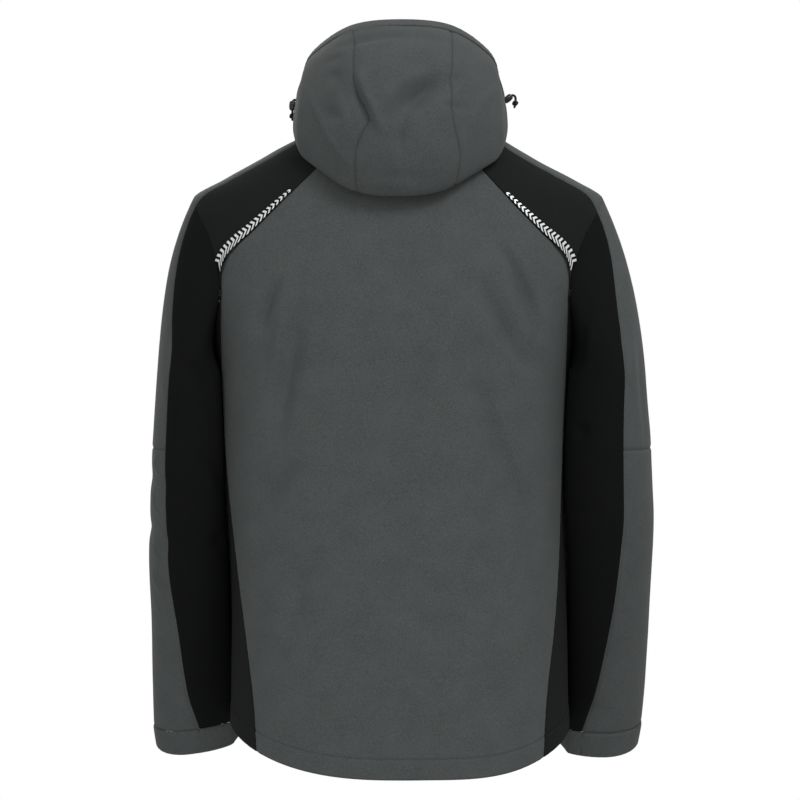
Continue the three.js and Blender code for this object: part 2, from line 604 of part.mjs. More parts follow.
const group = new THREE.Group();
function addMesh(name, geometry, look, options = {}) {
  const { mirrored = false, rigid = false } = options;
  if (mirrored) geometry.scale(-1, 1, 1);
  const p = geometry.attributes.position;
  geometry.computeBoundingBox();
  const middle = geometry.boundingBox.getCenter(new THREE.Vector3());
  for (let i = 0; i < p.count; i++) {
    const [x, z] = [p.getX(i), p.getZ(i)];
    const right = THREE.MathUtils.smoothstep(-x, HEM_RIGHT.from, HEM_RIGHT.to);
    const low = THREE.MathUtils.smoothstep(-z, HEM_RIGHT.above, 740);
    const onShoulder = THREE.MathUtils.smoothstep(z, SHOULDER_FADE.below, SHOULDER_FADE.above);
    const offNeck = 1 - THREE.MathUtils.smoothstep(z, SHOULDER_FADE.neckBelow, SHOULDER_FADE.neckAbove);
    p.setZ(i, z - HEM_RIGHT.drop * right * low - shoulderDrop(x) * onShoulder * offNeck);
    p.setX(i, x + swayAt(rigid ? middle.z : z));
  }
  const mesh = new THREE.Mesh(facingOut(geometry), new THREE.MeshStandardMaterial(look));
  mesh.name = name;
  group.add(mesh);
}

function addBack() {
  const near = [...backSeamLow, ...backSeamHigh.slice(1)];
  const far = near.map(({ u, z, hem }) => ({ u: 180 - u, z, hem }));
  const rows = near.length - 1;
  const neck = (s) => neckAt(lerp(NECK_BACK, 180 - NECK_BACK, s));
  addMesh("back_panel", clothWall(body, bodyPatch(near, far, neck), range(12), range(rows, 0, rows)), GREY);
}

// The black panels: one down each side below the arm, and one over each shoulder blade.
function addBlackPanels(side, mirrored) {
  const lowRows = backSeamLow.length - 2; // short of the tip, where the panel has no width
  const low = bodyPatch(backSeamLow, [...frontSeam, ...turnsUnder.slice(1).map(armholeAt)]);
  const alongArmhole = (turns, start) => (s, t) =>
    s === 1 && t >= start ? armholeInwards(between(turns, t - start), side) : null;
  addMesh(
    `side_panel_${side}`,
    clothWall(body, low, range(5), range(lowRows, 0, lowRows), { edgeInwards: alongArmhole(turnsUnder, SIDE_ROWS) }),
    BLACK,
    { mirrored },
  );
  const near = [...backSeamHigh, neckAt((NECK_BACK + NECK_STRIP) / 2), neckAt(NECK_STRIP)];
  const turns = turnsYoke(side);
  addMesh(
    `yoke_${side}`,
    clothWall(body, bodyPatch(near, turns.map(armholeAt)), range(8), range(near.length - 2, 1, near.length - 1), {
      edgeInwards: alongArmhole(turns, 0),
    }),
    BLACK,
    { mirrored },
  );
}

// A front runs from the zip to the side and over the shoulder to the yoke behind it.
function addFront(side, mirrored) {
  const zipEdge = (z) => ({ u: -angleOfX(ZIP_EDGE, z), z });
  const centre = [
    hemPlace(zipEdge(centreZ[0]).u),
    ...centreZ.slice(1).map(zipEdge),
    ...range(8, -88, NECK_STRIP).slice(1).map(neckAt),
  ];
  const turns = turnsFront(side);
  const far = [...frontSeam, ...turns.slice(1).map(armholeAt)];
  const rows = far.length - 1;
  addMesh(
    `front_${side}`,
    clothWall(body, bodyPatch(centre, far), range(8), range(rows, 0, rows), {
      edgeInwards: (s, t) =>
        s === 1 && t >= SIDE_ROWS ? armholeInwards(between(turns, t - SIDE_ROWS), side) : null,
    }),
    GREY,
    { mirrored },
  );
}

// Each sleeve: a black panel behind and under the arm, a grey one outside and in front that is cut
// across at the elbow, and a cuff.
function addSleeve(side, mirrored) {
  const [surface, arm] = [sleeves[side], arms[side]];
  const eased = (row) => THREE.MathUtils.smoothstep(row, 0, 1);
  const seamBack = (row) => {
    const z = FIRST_RING_Z - Math.max(0, row - 1) * ROW_MM;
    return lerp(ARMHOLE_STRIP[side], arm.seam(z), eased(row));
  };
  const seamFront = (row) => lerp(ARMHOLE_UNDER, SLEEVE_SEAM_FRONT, eased(row));
  const backTurns = [...turnsYoke(side).toReversed(), ...turnsUnder.toReversed().slice(1)];
  const frontTurns = turnsFront(side);
  const share = (turns, k) => (between(turns, k) - turns[0]) / (turns.at(-1) - turns[0]);
  const behind = (k, row) => [lerp(seamBack(row), seamFront(row), share(backTurns, k)), row];
  const before = (k, row) => [lerp(seamFront(row), seamBack(row) + 360, share(frontTurns, k)), row];
  const elbow = rowOfZ(ELBOW_Z);
  const cuffEdge = rowOfZ(SLEEVE[side].at(-1).z);
  const cuffTop = cuffEdge - CUFF_HEIGHT / ROW_MM;
  const upper = [0, 0.14, 0.28, 0.42, 0.57, 0.72, 0.86, 1, lerp(1, elbow, 0.5), elbow];
  const lower = range(7, elbow, cuffTop);
  const stops = (turns) => range(turns.length - 1, 0, turns.length - 1);
  const atArmhole = (turns) => (k, row) => (row === 0 ? armholeInwards(between(turns, k), side) : null);
  addMesh(
    `sleeve_back_${side}`,
    clothWall(surface, behind, stops(backTurns), [...upper, ...lower.slice(1)], {
      edgeInwards: atArmhole(backTurns),
    }),
    BLACK,
    { mirrored },
  );
  addMesh(
    `sleeve_upper_${side}`,
    clothWall(surface, before, stops(frontTurns), upper, { edgeInwards: atArmhole(frontTurns) }),
    GREY,
    { mirrored },
  );
  addMesh(`sleeve_lower_${side}`, clothWall(surface, before, stops(frontTurns), lower), GREY, { mirrored });
  const around = [
    ...backTurns.map((_, k) => behind(k, cuffTop)[0]),
    ...frontTurns.slice(1, -1).map((_, k) => before(k + 1, cuffTop)[0]),
  ];
  addMesh(
    `cuff_${side}`,
    clothWall(surface, (turn, row) => [turn, row], around, range(2, cuffTop, cuffEdge), {
      closed: true,
      thick: 2.6,
    }),
    GREY,
    { mirrored },
  );
}

function addCollar() {
  const open = 90 - Math.asin(ZIP_EDGE / (NECK.side - 4)) / rad;
  const stops = [...range(4, -open, -75), ...range(25, -75, 255).slice(1), ...range(4, 255, 180 + open).slice(1)];
  addMesh("collar", clothWall(collar, (angle, height) => [angle, height], stops, range(3)), GREY);
}

// The hood: a centre strip over the middle and a side panel each side, with a turned edge.
const hoodSeamLeft = through(HOOD_SEAMS, "column", "left");
const hoodSeamRight = through(HOOD_SEAMS, "column", "right");
function addHood() {
  const seamTop = bandStart(1);
  const panel = (from, to) => (s, t) => {
    const row = lerp(from(t * seamTop), to(t * seamTop), s);
    return [row, t * bandStart(row)];
  };
  const rightSeam = (column) => -hoodSeamRight(column);
  const last = HOOD.length - 1;
  const rows = range(18);
  addMesh("hood_centre", clothWall(hood, panel(rightSeam, hoodSeamLeft), range(10), rows), GREY);
  addMesh("hood_side_left", clothWall(hood, panel(hoodSeamLeft, () => last), range(13), rows), GREY);
  addMesh("hood_side_right", clothWall(hood, panel(() => -last, rightSeam), range(13), rows), GREY);
  const band = (s, t) => [s, lerp(bandStart(s), HOOD_COLUMNS.length - 1, t)];
  const all = [
    ...range(13, -last, rightSeam(seamTop)),
    ...range(10, rightSeam(seamTop), hoodSeamLeft(seamTop)).slice(1),
    ...range(13, hoodSeamLeft(seamTop), last).slice(1),
  ];
  addMesh("hood_edge", clothWall(hood, band, all, range(2), { thick: BAND_THICK, out: 0.6 }), GREY);
}

// A strip laid on the yoke along its seam, wider towards the arm.
function addTape(side, mirrored) {
  const strip = (s, t) => {
    const z = lerp(-81, lerp(-170, -163, s), t);
    const seam = bodyBare(backSeamAt(z).u, z);
    const next = bodyBare(backSeamAt(z - 1).u, z - 1);
    const away = next.sub(seam).cross(body.normal(backSeamAt(z).u, z)).normalize();
    if (away.z < 0) away.negate();
    const wide = lerp(4, 12, Math.min(1, t * 1.6));
    const p = seam.addScaledVector(away, 0.8 + wide * s);
    return [angleOfX(Math.abs(p.x), p.z), p.z];
  };
  addMesh(
    `reflective_tape_${side}`,
    clothWall(body, strip, range(2), range(12), { thick: TAPE_THICK, out: SEAM_GAP + TAPE_THICK }),
    SILVER,
    { mirrored },
  );
}

// The zip runs up the middle of the front and the collar. across is the distance from the middle.
function zipPoint(across, z) {
  const x = Math.abs(across);
  if (z < neckFoot.z) {
    const p = bodyBare(-angleOfX(x, z), z);
    return p.setX(across);
  }
  const angle = -Math.acos(x / (NECK.side - 4)) / rad;
  const p = collar.point(angle, (z - neckAt(angle).z - COLLAR_OFF_NECK) / collarHeight(angle));
  return new THREE.Vector3(across, p.y, z);
}
const collarTop = neckFoot.z + COLLAR_HEIGHT.front;
const zipHeights = [hemZ(-90) + 2, ...centreZ.slice(1), ...range(3, neckFoot.z, collarTop - 3).slice(1)];
function zipStrip(columns, front, thick) {
  const layer = (depth) => columns.map((across) => zipHeights.map((z) => {
    const up = zipPoint(across, z + 2).sub(zipPoint(across, z - 2)).normalize();
    return zipPoint(across, z).add(new THREE.Vector3(0, -up.z, up.y).multiplyScalar(depth));
  }));
  return shell(layer(front), layer(front - thick), false);
}
function addZip() {
  const rise = (ZIP.teethThick - CLOTH) / 2;
  addMesh("zip_teeth", zipStrip([-ZIP.teeth / 2, ZIP.teeth / 2], rise, ZIP.teethThick), PLASTIC);
  const behind = ZIP.teethThick - rise + SEAM_GAP;
  const half = ZIP.tape / 2;
  addMesh("zip_tape", zipStrip([-half, -half / 2, 0, half / 2, half], -behind, ZIP.tapeThick), BLACK);
}

// The slider's front plate with a strap over it, and the pull, whose top bar turns under the strap.
const wasm = await Module();
wasm.setup();
function solidOf(geometry) {
  const flat = new THREE.BufferGeometry().setAttribute("position", geometry.getAttribute("position"));
  const merged = mergeVertices(geometry.index ? flat.setIndex(geometry.index) : flat, 1e-3);
  return new wasm.Manifold(new wasm.Mesh({
    numProp: 3,
    vertProperties: merged.attributes.position.array,
    triVerts: new Uint32Array(merged.index.array),
  }));
}
function geometryOf(solid) {
  const { vertProperties, triVerts } = solid.getMesh();
  return new THREE.BufferGeometry()
    .setAttribute("position", new THREE.Float32BufferAttribute(vertProperties, 3))
    .setIndex(Array.from(triVerts));
}
const SLIDER = { wide: 9, high: 11, thick: 1.8, strapWide: 2, hole: 1.5, strap: 1, strapHigh: 9 };
const PULL = { wide: 6.4, long: 26, thick: 1.5, bar: 1.5, window: 3.2, windowHigh: 8 };
const sliderZ = collarTop + ZIP.sliderDrop;
const plateY = zipPoint(0, sliderZ).y - (ZIP.teethThick - CLOTH) / 2 - SEAM_GAP - SLIDER.thick;
const hingeY = plateY - SLIDER.hole - 0.1;
function roundedShape(wide, low, high, corner, lowWide = wide) {
  const shape = new THREE.Shape();
  shape.moveTo(-lowWide / 2 + corner, low);
  shape.lineTo(lowWide / 2 - corner, low);
  shape.quadraticCurveTo(lowWide / 2, low, lowWide / 2, low + corner);
  shape.lineTo(wide / 2, high - corner);
  shape.quadraticCurveTo(wide / 2, high, wide / 2 - corner, high);
  shape.lineTo(-wide / 2 + corner, high);
  shape.quadraticCurveTo(-wide / 2, high, -wide / 2, high - corner);
  shape.lineTo(-lowWide / 2, low + corner);
  shape.quadraticCurveTo(-lowWide / 2, low, -lowWide / 2 + corner, low);
  return shape;
}
// A flat outline of x and z, thick from frontY towards the back.
function plate(shape, thick, frontY) {
  return new THREE.ExtrudeGeometry(shape, { depth: thick, bevelEnabled: false, curveSegments: 4 })
    .rotateX(Math.PI / 2)
    .translate(0, frontY + thick, 0);
}
function addSlider() {
  const half = SLIDER.high / 2;
  const face = roundedShape(SLIDER.wide, sliderZ - half, sliderZ + half, 1.6, SLIDER.wide - 2);
  const strap = new THREE.Shape();
  const reach = SLIDER.hole + SLIDER.strap;
  strap.moveTo(-SLIDER.strapHigh / 2, -0.6);
  strap.lineTo(SLIDER.strapHigh / 2, -0.6);
  strap.quadraticCurveTo(SLIDER.strapHigh / 2 - 0.4, SLIDER.hole + reach, 0, SLIDER.hole + 0.1 + reach);
  strap.quadraticCurveTo(-SLIDER.strapHigh / 2 + 0.4, SLIDER.hole + reach, -SLIDER.strapHigh / 2, -0.6);
  const opening = new THREE.Path().absarc(0, SLIDER.hole + 0.1, SLIDER.hole, 0, 2 * Math.PI, true);
  strap.holes.push(opening);
  const arch = new THREE.ExtrudeGeometry(strap, { depth: SLIDER.strapWide, bevelEnabled: false, curveSegments: 6 })
    .translate(0, 0, -SLIDER.strapWide / 2)
    .applyMatrix4(new THREE.Matrix4().makeBasis(vector([0, 0, 1]), vector([0, -1, 0]), vector([1, 0, 0])))
    .translate(0, plateY, sliderZ);
  const solid = solidOf(plate(face, SLIDER.thick, plateY)).add(solidOf(arch));
  addMesh("zip_slider", geometryOf(solid), PLASTIC, { rigid: true });

  const top = sliderZ + PULL.bar / 2;
  const tab = roundedShape(PULL.wide, top - PULL.long, top, 1.4, PULL.wide - 0.8);
  const low = sliderZ - PULL.bar / 2 - PULL.windowHigh;
  tab.holes.push(roundedShape(PULL.window, low, sliderZ - PULL.bar / 2, 0.5));
  addMesh("zip_pull", geometryOf(solidOf(plate(tab, PULL.thick, hingeY - PULL.thick / 2))), PLASTIC, { rigid: true });
}

// A cord with its eyelet, stopper and knot.
function addCord(side) {
  const row = side === "left" ? CORD_ROW : -CORD_ROW;
  const column = (bandStart(row) + HOOD_COLUMNS.length - 1) / 2;
  const normal = hood.normal(row, column);
  const surface = hood.point(row, column).addScaledVector(normal, 0.6);
  const first = surface.clone().addScaledVector(normal, 0.5);
  const route = [first, surface.clone().addScaledVector(normal, 3.5), ...CORDS[side].route.map(vector)];
  const path = new THREE.CatmullRomCurve3(route, false, "centripetal");
  const circle = new THREE.Shape().absarc(0, 0, CORD_DIAMETER / 2, 0, 2 * Math.PI, false);
  const cord = new THREE.ExtrudeGeometry(circle, { steps: 30, extrudePath: path, curveSegments: 5 });
  addMesh(`cord_${side}`, geometryOf(solidOf(cord)), PLASTIC);

  const bead = (name, at, profile, sides) => {
    const along = path.getTangent(at);
    const turned = new THREE.LatheGeometry(profile.map(([r, h]) => new THREE.Vector2(r, h)), sides)
      .applyQuaternion(new THREE.Quaternion().setFromUnitVectors(new THREE.Vector3(0, 1, 0), along))
      .translate(...path.getPoint(at));
    addMesh(name, geometryOf(solidOf(turned)), PLASTIC);
  };
  const barrel = ({ long, wide, bore }, square) => {
    const round = range(6, -1, 1).map((t) => [(wide / 2) * (1 - Math.abs(t) ** square * 0.32), (t * long) / 2]);
    return [[bore / 2, -long / 2], ...round, [bore / 2, long / 2], [bore / 2, -long / 2]];
  };
  bead(`stopper_${side}`, CORDS[side].stopper, barrel(STOPPER, 4), 14);
  bead(`knot_${side}`, CORDS[side].knot, barrel(KNOT, 2), 10);

  const { wide, hole, thick } = EYELET;
  const low = 0.45;
  const washer = [[hole / 2, low], [wide / 2, low], [wide / 2 - 0.3, low + thick], [hole / 2, low + thick], [hole / 2, low]];
  const eyelet = new THREE.LatheGeometry(washer.map(([r, h]) => new THREE.Vector2(r, h)), 16)
    .applyQuaternion(new THREE.Quaternion().setFromUnitVectors(new THREE.Vector3(0, 1, 0), normal))
    .translate(...surface);
  addMesh(`eyelet_${side}`, geometryOf(solidOf(eyelet)), PLASTIC);
}

addBack();
for (const side of ["left", "right"]) {
  const mirrored = side === "right";
  addBlackPanels(side, mirrored);
  addFront(side, mirrored);
  addSleeve(side, mirrored);
  addTape(side, mirrored);
  addCord(side);
}
addCollar();
addHood();
addZip();
addSlider();

export default group;
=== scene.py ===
# %% [markdown]
# A hooded softshell jacket, filled out as if somebody stood in it, seen from behind. Softshell is a
# smooth stretch fabric bonded to fleece, so it hangs in broad soft shapes with few creases, and the
# seams and the rows of stitching do most of the drawing. Each cut piece of cloth is made as its own
# sheet, laid on the surface that its solid has, and then finished with seams, creases and thread.

import math

import bmesh
import bpy
import numpy as np
from mathutils import Euler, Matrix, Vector


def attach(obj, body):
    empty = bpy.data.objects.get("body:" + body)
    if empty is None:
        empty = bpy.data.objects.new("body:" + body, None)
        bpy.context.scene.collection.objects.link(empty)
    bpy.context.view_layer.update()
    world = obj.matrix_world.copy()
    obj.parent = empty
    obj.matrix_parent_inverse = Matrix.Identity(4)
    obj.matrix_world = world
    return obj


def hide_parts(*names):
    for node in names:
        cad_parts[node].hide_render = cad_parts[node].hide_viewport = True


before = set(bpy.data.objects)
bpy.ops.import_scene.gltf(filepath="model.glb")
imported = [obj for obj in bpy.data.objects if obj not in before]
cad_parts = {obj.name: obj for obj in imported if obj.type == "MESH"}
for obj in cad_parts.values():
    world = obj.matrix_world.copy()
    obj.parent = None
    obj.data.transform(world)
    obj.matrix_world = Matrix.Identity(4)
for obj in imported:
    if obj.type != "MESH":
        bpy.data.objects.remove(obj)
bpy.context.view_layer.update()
scene = bpy.context.scene
MM = 0.001  # the sizes below are millimetres, and Blender's are metres

# %% [markdown]
# The camera stands level behind the jacket, as in the photo. A long lens from 3 m keeps the hood and
# the sleeves, which come nearer, from swelling. The picture is square, so one field width says it all.

# %% Camera
CAMERA_FAR = 3.0
FIELD_WIDTH = 0.96
LOOK_HEIGHT = -0.325
lens = bpy.data.cameras.new("camera")
lens.sensor_width = 36
lens.lens = lens.sensor_width * CAMERA_FAR / FIELD_WIDTH
camera = bpy.data.objects.new("camera", lens)
camera.location = (0, CAMERA_FAR, LOOK_HEIGHT)
camera.rotation_euler = (math.radians(90), 0, math.radians(180))
scene.collection.objects.link(camera)
scene.camera = camera
print("lens", round(lens.lens, 1), "mm")

# %% [markdown]
# The sizes of the cut are the same named values as in the part's source. The body is a stack of
# rounded rings, each sleeve is a bent tube, and the hood is a net of points from its neck seam, out
# under the pouch and up to the face edge. Sizes are in millimetres and angles in degrees.

# %% Sizes of the cut
HEM_SIDE_Z = -708
HEM_BACK_DROP = 51
HEM_FRONT_DROP = 14
HEM_CURVE = 1.55
NECK = {"side": 80, "back": 79, "front": 88}
ARMHOLE = {"top": -79, "bottom": -283, "front": 64, "dent": 0.2}
ARMHOLE_JOIN = 98
ARMHOLE_STRIP = {"left": 30, "right": 38}
ARMHOLE_UNDER = 195
SLEEVE_SEAM_FRONT = 232
ELBOW_Z = -381
COLLAR_HEIGHT = {"back": 58, "front": 86}
COLLAR_OFF_NECK = 0.9
COLLAR_SIDE = NECK["side"] - 4
BAND_WIDTH = 17
CUFF_HEIGHT = 25
SLEEVE_OFF_BODY = 2.8
SLEEVE_PRESSED = 20
HOOD_OFF_NECK = 1.4
HOOD_LEAVES = np.array([0, 0, 40])
ZIP_TEETH = 6.4
ZIP_EDGE = ZIP_TEETH / 2 + 0.3
NECK_BACK = 50
NECK_STRIP = 30
FRONT_SEAM_FOOT = -38
ZIP_ANGLE = -88
CLOTH = 1.9
SIDES = ("left", "right")
FOLD_ENDS = 0.35


def table(columns, *rows):
    """Rows of numbers under named columns."""
    return [dict(zip(columns.split(), row)) for row in rows]


def crease(wide, deep, *along, ends=0):
    """A trough through these places, or a ridge where deep is above nought."""
    return {"along": along, "wide": wide, "deep": deep, "ends": ends}


def fold(wide, deep, *along):
    return crease(wide, deep, *along, ends=FOLD_ENDS)


BODY = table(
    "z side back front square",
    (-775, 204, 151, 141, 2.5),
    (-650, 201, 146, 139, 2.5),
    (-520, 200, 139, 136, 2.5),
    (-400, 203, 135, 138, 2.5),
    (-300, 209, 134, 141, 2.5),
    (-236, 222, 132, 138, 2.4),
    (-186, 240.5, 127, 128, 2.25),
    (-146, 254.5, 120, 115, 2.2),
    (-111, 257, 111, 102, 2.2),
    (-89, 250.5, 104, 94, 2.2),
    (-79, 243, 100.3, 90.3, 2.2),
    (-61, 212.5, 94.5, 84, 2.2),
    (-37, 168, 87, 76, 2.2),
    (-21, 140, 81, 70, 2.2),
    (-11, 119, 77, 66.5, 2.2),
    (0, 80, 72, 62, 2.2),
    (4, 62, 70, 60, 2.2),
)
SWAY = table(
    "z x",
    (-760, 0),
    (-620, 0.5),
    (-520, 2.5),
    (-430, 6),
    (-330, 7.5),
    (-240, 7),
    (-180, 5.5),
    (-130, 3.5),
    (-70, 1.5),
    (-20, 0.3),
    (0, 0),
)
HEM_RIGHT = {"drop": 7, "from": 20, "to": 150, "above": 620, "below": 740}
SHOULDERS = table(
    "x drop",
    (-260, 1.2),
    (-205, 2.4),
    (-170, 3.8),
    (-135, 4),
    (-100, 1.8),
    (-75, 0),
    (140, 0),
    (190, 1.6),
    (215, 2.6),
    (260, 1),
)
SHOULDER_FADE = {"below": -170, "above": -90, "neck_below": -25, "neck_above": 0}
BACK_SEAM = table(
    "z x",
    (-775, 164),
    (-735, 166.5),
    (-678, 171),
    (-609, 180),
    (-529, 189),
    (-421, 197.5),
    (-361, 201.5),
    (-285, 205),
    (-208, 204.5),
    (-176, 203.5),
    (-161, 199.5),
    (-127, 167),
    (-92, 133.5),
    (-57, 99.5),
    (-14, 60),
)
SLEEVE = {
    "left": table(
        "z x y wide deep tip lean seam",
        (-300, 245, 2, 39, 80, 0, 0, 58),
        (-373, 248, 2, 41.5, 71, 2, 0, 58),
        (-445, 252.5, -4, 43, 64, 6, 0, 62),
        (-517, 255, -18, 46, 58.5, 10, 0, 66),
        (-589, 254, -36, 47.5, 54.5, 12, 0, 76),
        (-661, 253.5, -55, 49, 51, 12, 3, 86),
        (-713, 252.5, -68, 49.5, 49, 13, 9, 98),
        (-738, 251, -73, 48, 47, 20, 9, 102),
    ),
    "right": table(
        "z x y wide deep tip lean seam",
        (-300, 259, 8, 43, 80, 0, 0, 74),
        (-373, 261, 14, 46.5, 71, 2, 0, 80),
        (-445, 261, 12, 48, 64, 6, 0, 81),
        (-517, 257.5, -4, 48.5, 58.5, 10, 0, 86),
        (-589, 254, -26, 48.5, 54.5, 12, 0, 93),
        (-661, 251.5, -50, 48, 51, 12, 0, 103),
        (-710, 248, -66, 48, 49, 13, 0, 114),
        (-735, 246, -72, 46.5, 47, 20, 0, 118),
    ),
}
HOOD = table(
    "angle under fold low mid crown rim",
    (90, (0, 103, -52), (0, 123, -90), (0, 146, -47), (0, 149, 18), (0, 126, 85), (0, 80, 120)),
    (61, (47, 95, -40), (53, 114, -83), (60, 134, -42), (62, 137, 20), (61, 112, 82), (59, 66, 115)),
    (31, (85, 69, -12), (99, 90, -52), (112, 94, -24), (112, 87, 24), (108.5, 62, 69), (103, 30, 91)),
    (17, (98, 46, -6), (114, 74, -36), (123, 70, -19), (123, 53, 19), (119.5, 31, 48), (115, 6, 67)),
    (3, (100, 14, 1), (119, 25, -9), (126.5, 21, -3), (127, 10, 14), (125, -3, 29), (122, -16, 43)),
    (-27, (89, -46, -1), (104, -52, -11), (112, -57, -6), (114, -60, 3), (112, -62, 12), (108, -63, 21)),
    (-56, (50, -82, -28), (54, -87, -27), (57, -90, -22), (59, -91, -16), (59, -91, -8), (58, -90, 0)),
)
HOOD_SEAMS = table(
    "column left right",
    (0, 0.88, 1.22),
    (2, 0.88, 1.24),
    (2.9, 0.85, 1.2),
    (3.2, 0.79, 1.13),
    (3.43, 0.68, 1.06),
    (3.62, 0.58, 1),
    (3.83, 0.66, 0.97),
    (4.03, 0.78, 0.96),
    (4.38, 0.88, 0.96),
    (5, 0.9, 0.98),
    (6, 0.97, 0.98),
)

# %% [markdown]
# The largest folds are in the solids too. Each is a soft trough, or a ridge where "deep" is above
# nought, along a line through points near the surface. The finer creases are only here. They are
# placed where the photo shows them, and on the hidden front where cloth of this weight breaks:
# across the inside of the elbow, from the armhole, and above the hem. A simulation would spread small
# even wrinkles all over, which this stiff cloth doesn't have.

# %% Folds and creases
HOOD_FOLDS = [
    fold(9.5, -9.5, (58, 146, 46), (32, 148, -8)),
    fold(13, -8, (-60, 140, 50), (-4, 149, 8)),
    fold(10, 3, (16, 149, 42), (22, 150, -4)),
    fold(8, -3, (-2, 149, 4), (2, 144, -42)),
    fold(7, 4, (101, 90, 20), (58, 128, -48)),
    fold(7, 4, (-108, 84, 40), (-76, 116, -28)),
    fold(7, -3, (34, 148, -14), (52, 142, -50)),
    fold(9, -3.5, (66, 112, 92), (-60, 116, 93)),
]
BODY_FOLDS = [
    fold(20, -3, (150, 104, -190), (128, 120, -330)),
    fold(20, -3, (-146, 104, -186), (-120, 122, -310)),
    fold(18, -3.5, (196, -60, -300), (110, -128, -360)),
    fold(18, -3.5, (-196, -60, -296), (-120, -126, -372)),
    fold(22, -3, (180, -80, -560), (90, -128, -600)),
    fold(22, -3, (-182, -80, -540), (-84, -130, -590)),
]
SLEEVE_FOLDS = {
    "left": [
        fold(12, -4, (296, -30, -404), (262, 58, -430)),
        fold(12, -3.5, (300, -20, -470), (270, 52, -500)),
        fold(14, -4, (230, 60, -330), (262, 76, -250)),
        fold(14, -5, (262, -60, -420), (226, -50, -470)),
    ],
    "right": [
        fold(12, -4, (298, -30, -462), (266, 56, -494)),
        fold(13, -3.5, (292, 0, -300), (280, 44, -392)),
        fold(14, -4, (228, 62, -340), (258, 78, -262)),
        fold(14, -5, (262, -60, -410), (226, -50, -458)),
    ],
}
HOOD_CREASES = [
    crease(3.4, 2.2, (107, 39), (95, 8), (82, -25), (61, -50)),
    crease(3.4, 2.2, (-114, 45), (-93, 17), (-84, -11), (-72, -38)),
    crease(8, -2.4, (68, 44), (60, 16), (50, -10), ends=0.4),
    crease(6.5, 8, (50, 58), (42, 28), (28, -2), (19, -22)),
    crease(7.5, -6, (-54, 38), (-28, 33), (-10, 11), (4, -7)),
    crease(6.5, 6, (-34, 56), (-8, 40), (11, 22), (19, 0)),
    crease(3.4, -2.4, (-43, 15), (-60, 11), (-86, 10)),
    crease(6, -3.4, (-60, 38), (-70, 50), ends=0.4),
    crease(4, -2, (0, -11), (-2, -45)),
    crease(5, 2.2, (84, 98), (57, 106), (34, 110), (-6, 111)),
    crease(9, -2.4, (88, 82), (57, 90), (34, 95), (-6, 97)),
    crease(8, -3.2, (84, 52), (70, 42)),
    crease(6, -1.8, (92, 66), (66, 72)),
    crease(8, -3, (88, 6), (64, -2)),
    crease(7, -1.8, (40, -66), (-30, -70)),
]
BACK_CREASES = [
    crease(5.5, -8, (132, -182), (143, -205), (160, -256)),
    crease(9, 5, (120, -193), (135, -256), (143, -313)),
    crease(12, -9, (106, -199), (117, -273), (135, -354), (166, -394)),
    crease(10, -7, (112, -394), (137, -434), (172, -480)),
    crease(12, -6.5, (89, -497), (115, -543), (131, -600)),
    crease(6, -8, (-115, -139), (-137, -170), (-162, -222), (-172, -262)),
    crease(7, 4, (-115, -176), (-143, -228), (-166, -273)),
    crease(8, -6.5, (-92, -176), (-115, -222), (-140, -268), (-166, -302)),
    crease(11, -8, (-99, -250), (-104, -313), (-119, -371), (-140, -434), (-166, -514)),
    crease(13, -6, (-39, -245), (-31, -296), (-14, -354), (3, -417)),
    crease(16, -6, (-11, -139), (-14, -222)),
]
YOKE_CREASES = {
    "left": [crease(14, -2.4, (150, 96, -70), (196, 96, -110))],
    "right": [crease(14, -2.4, (-158, 96, -76), (-200, 100, -128))],
}
FRONT_CREASES = {
    "left": [
        crease(9, -4.4, (206, 20, -296), (150, -112, -250), (96, -124, -226)),
        crease(12, -3.4, (200, -40, -330), (140, -120, -322), (70, -134, -340)),
        crease(13, -3.4, (60, -130, -560), (120, -128, -640)),
    ],
    "right": [
        crease(10, -4.1, (-206, 20, -300), (-154, -110, -262), (-90, -126, -240)),
        crease(12, -3.4, (-198, -50, -350), (-120, -126, -352)),
        crease(14, -3.4, (-50, -134, -520), (-110, -130, -610)),
    ],
}
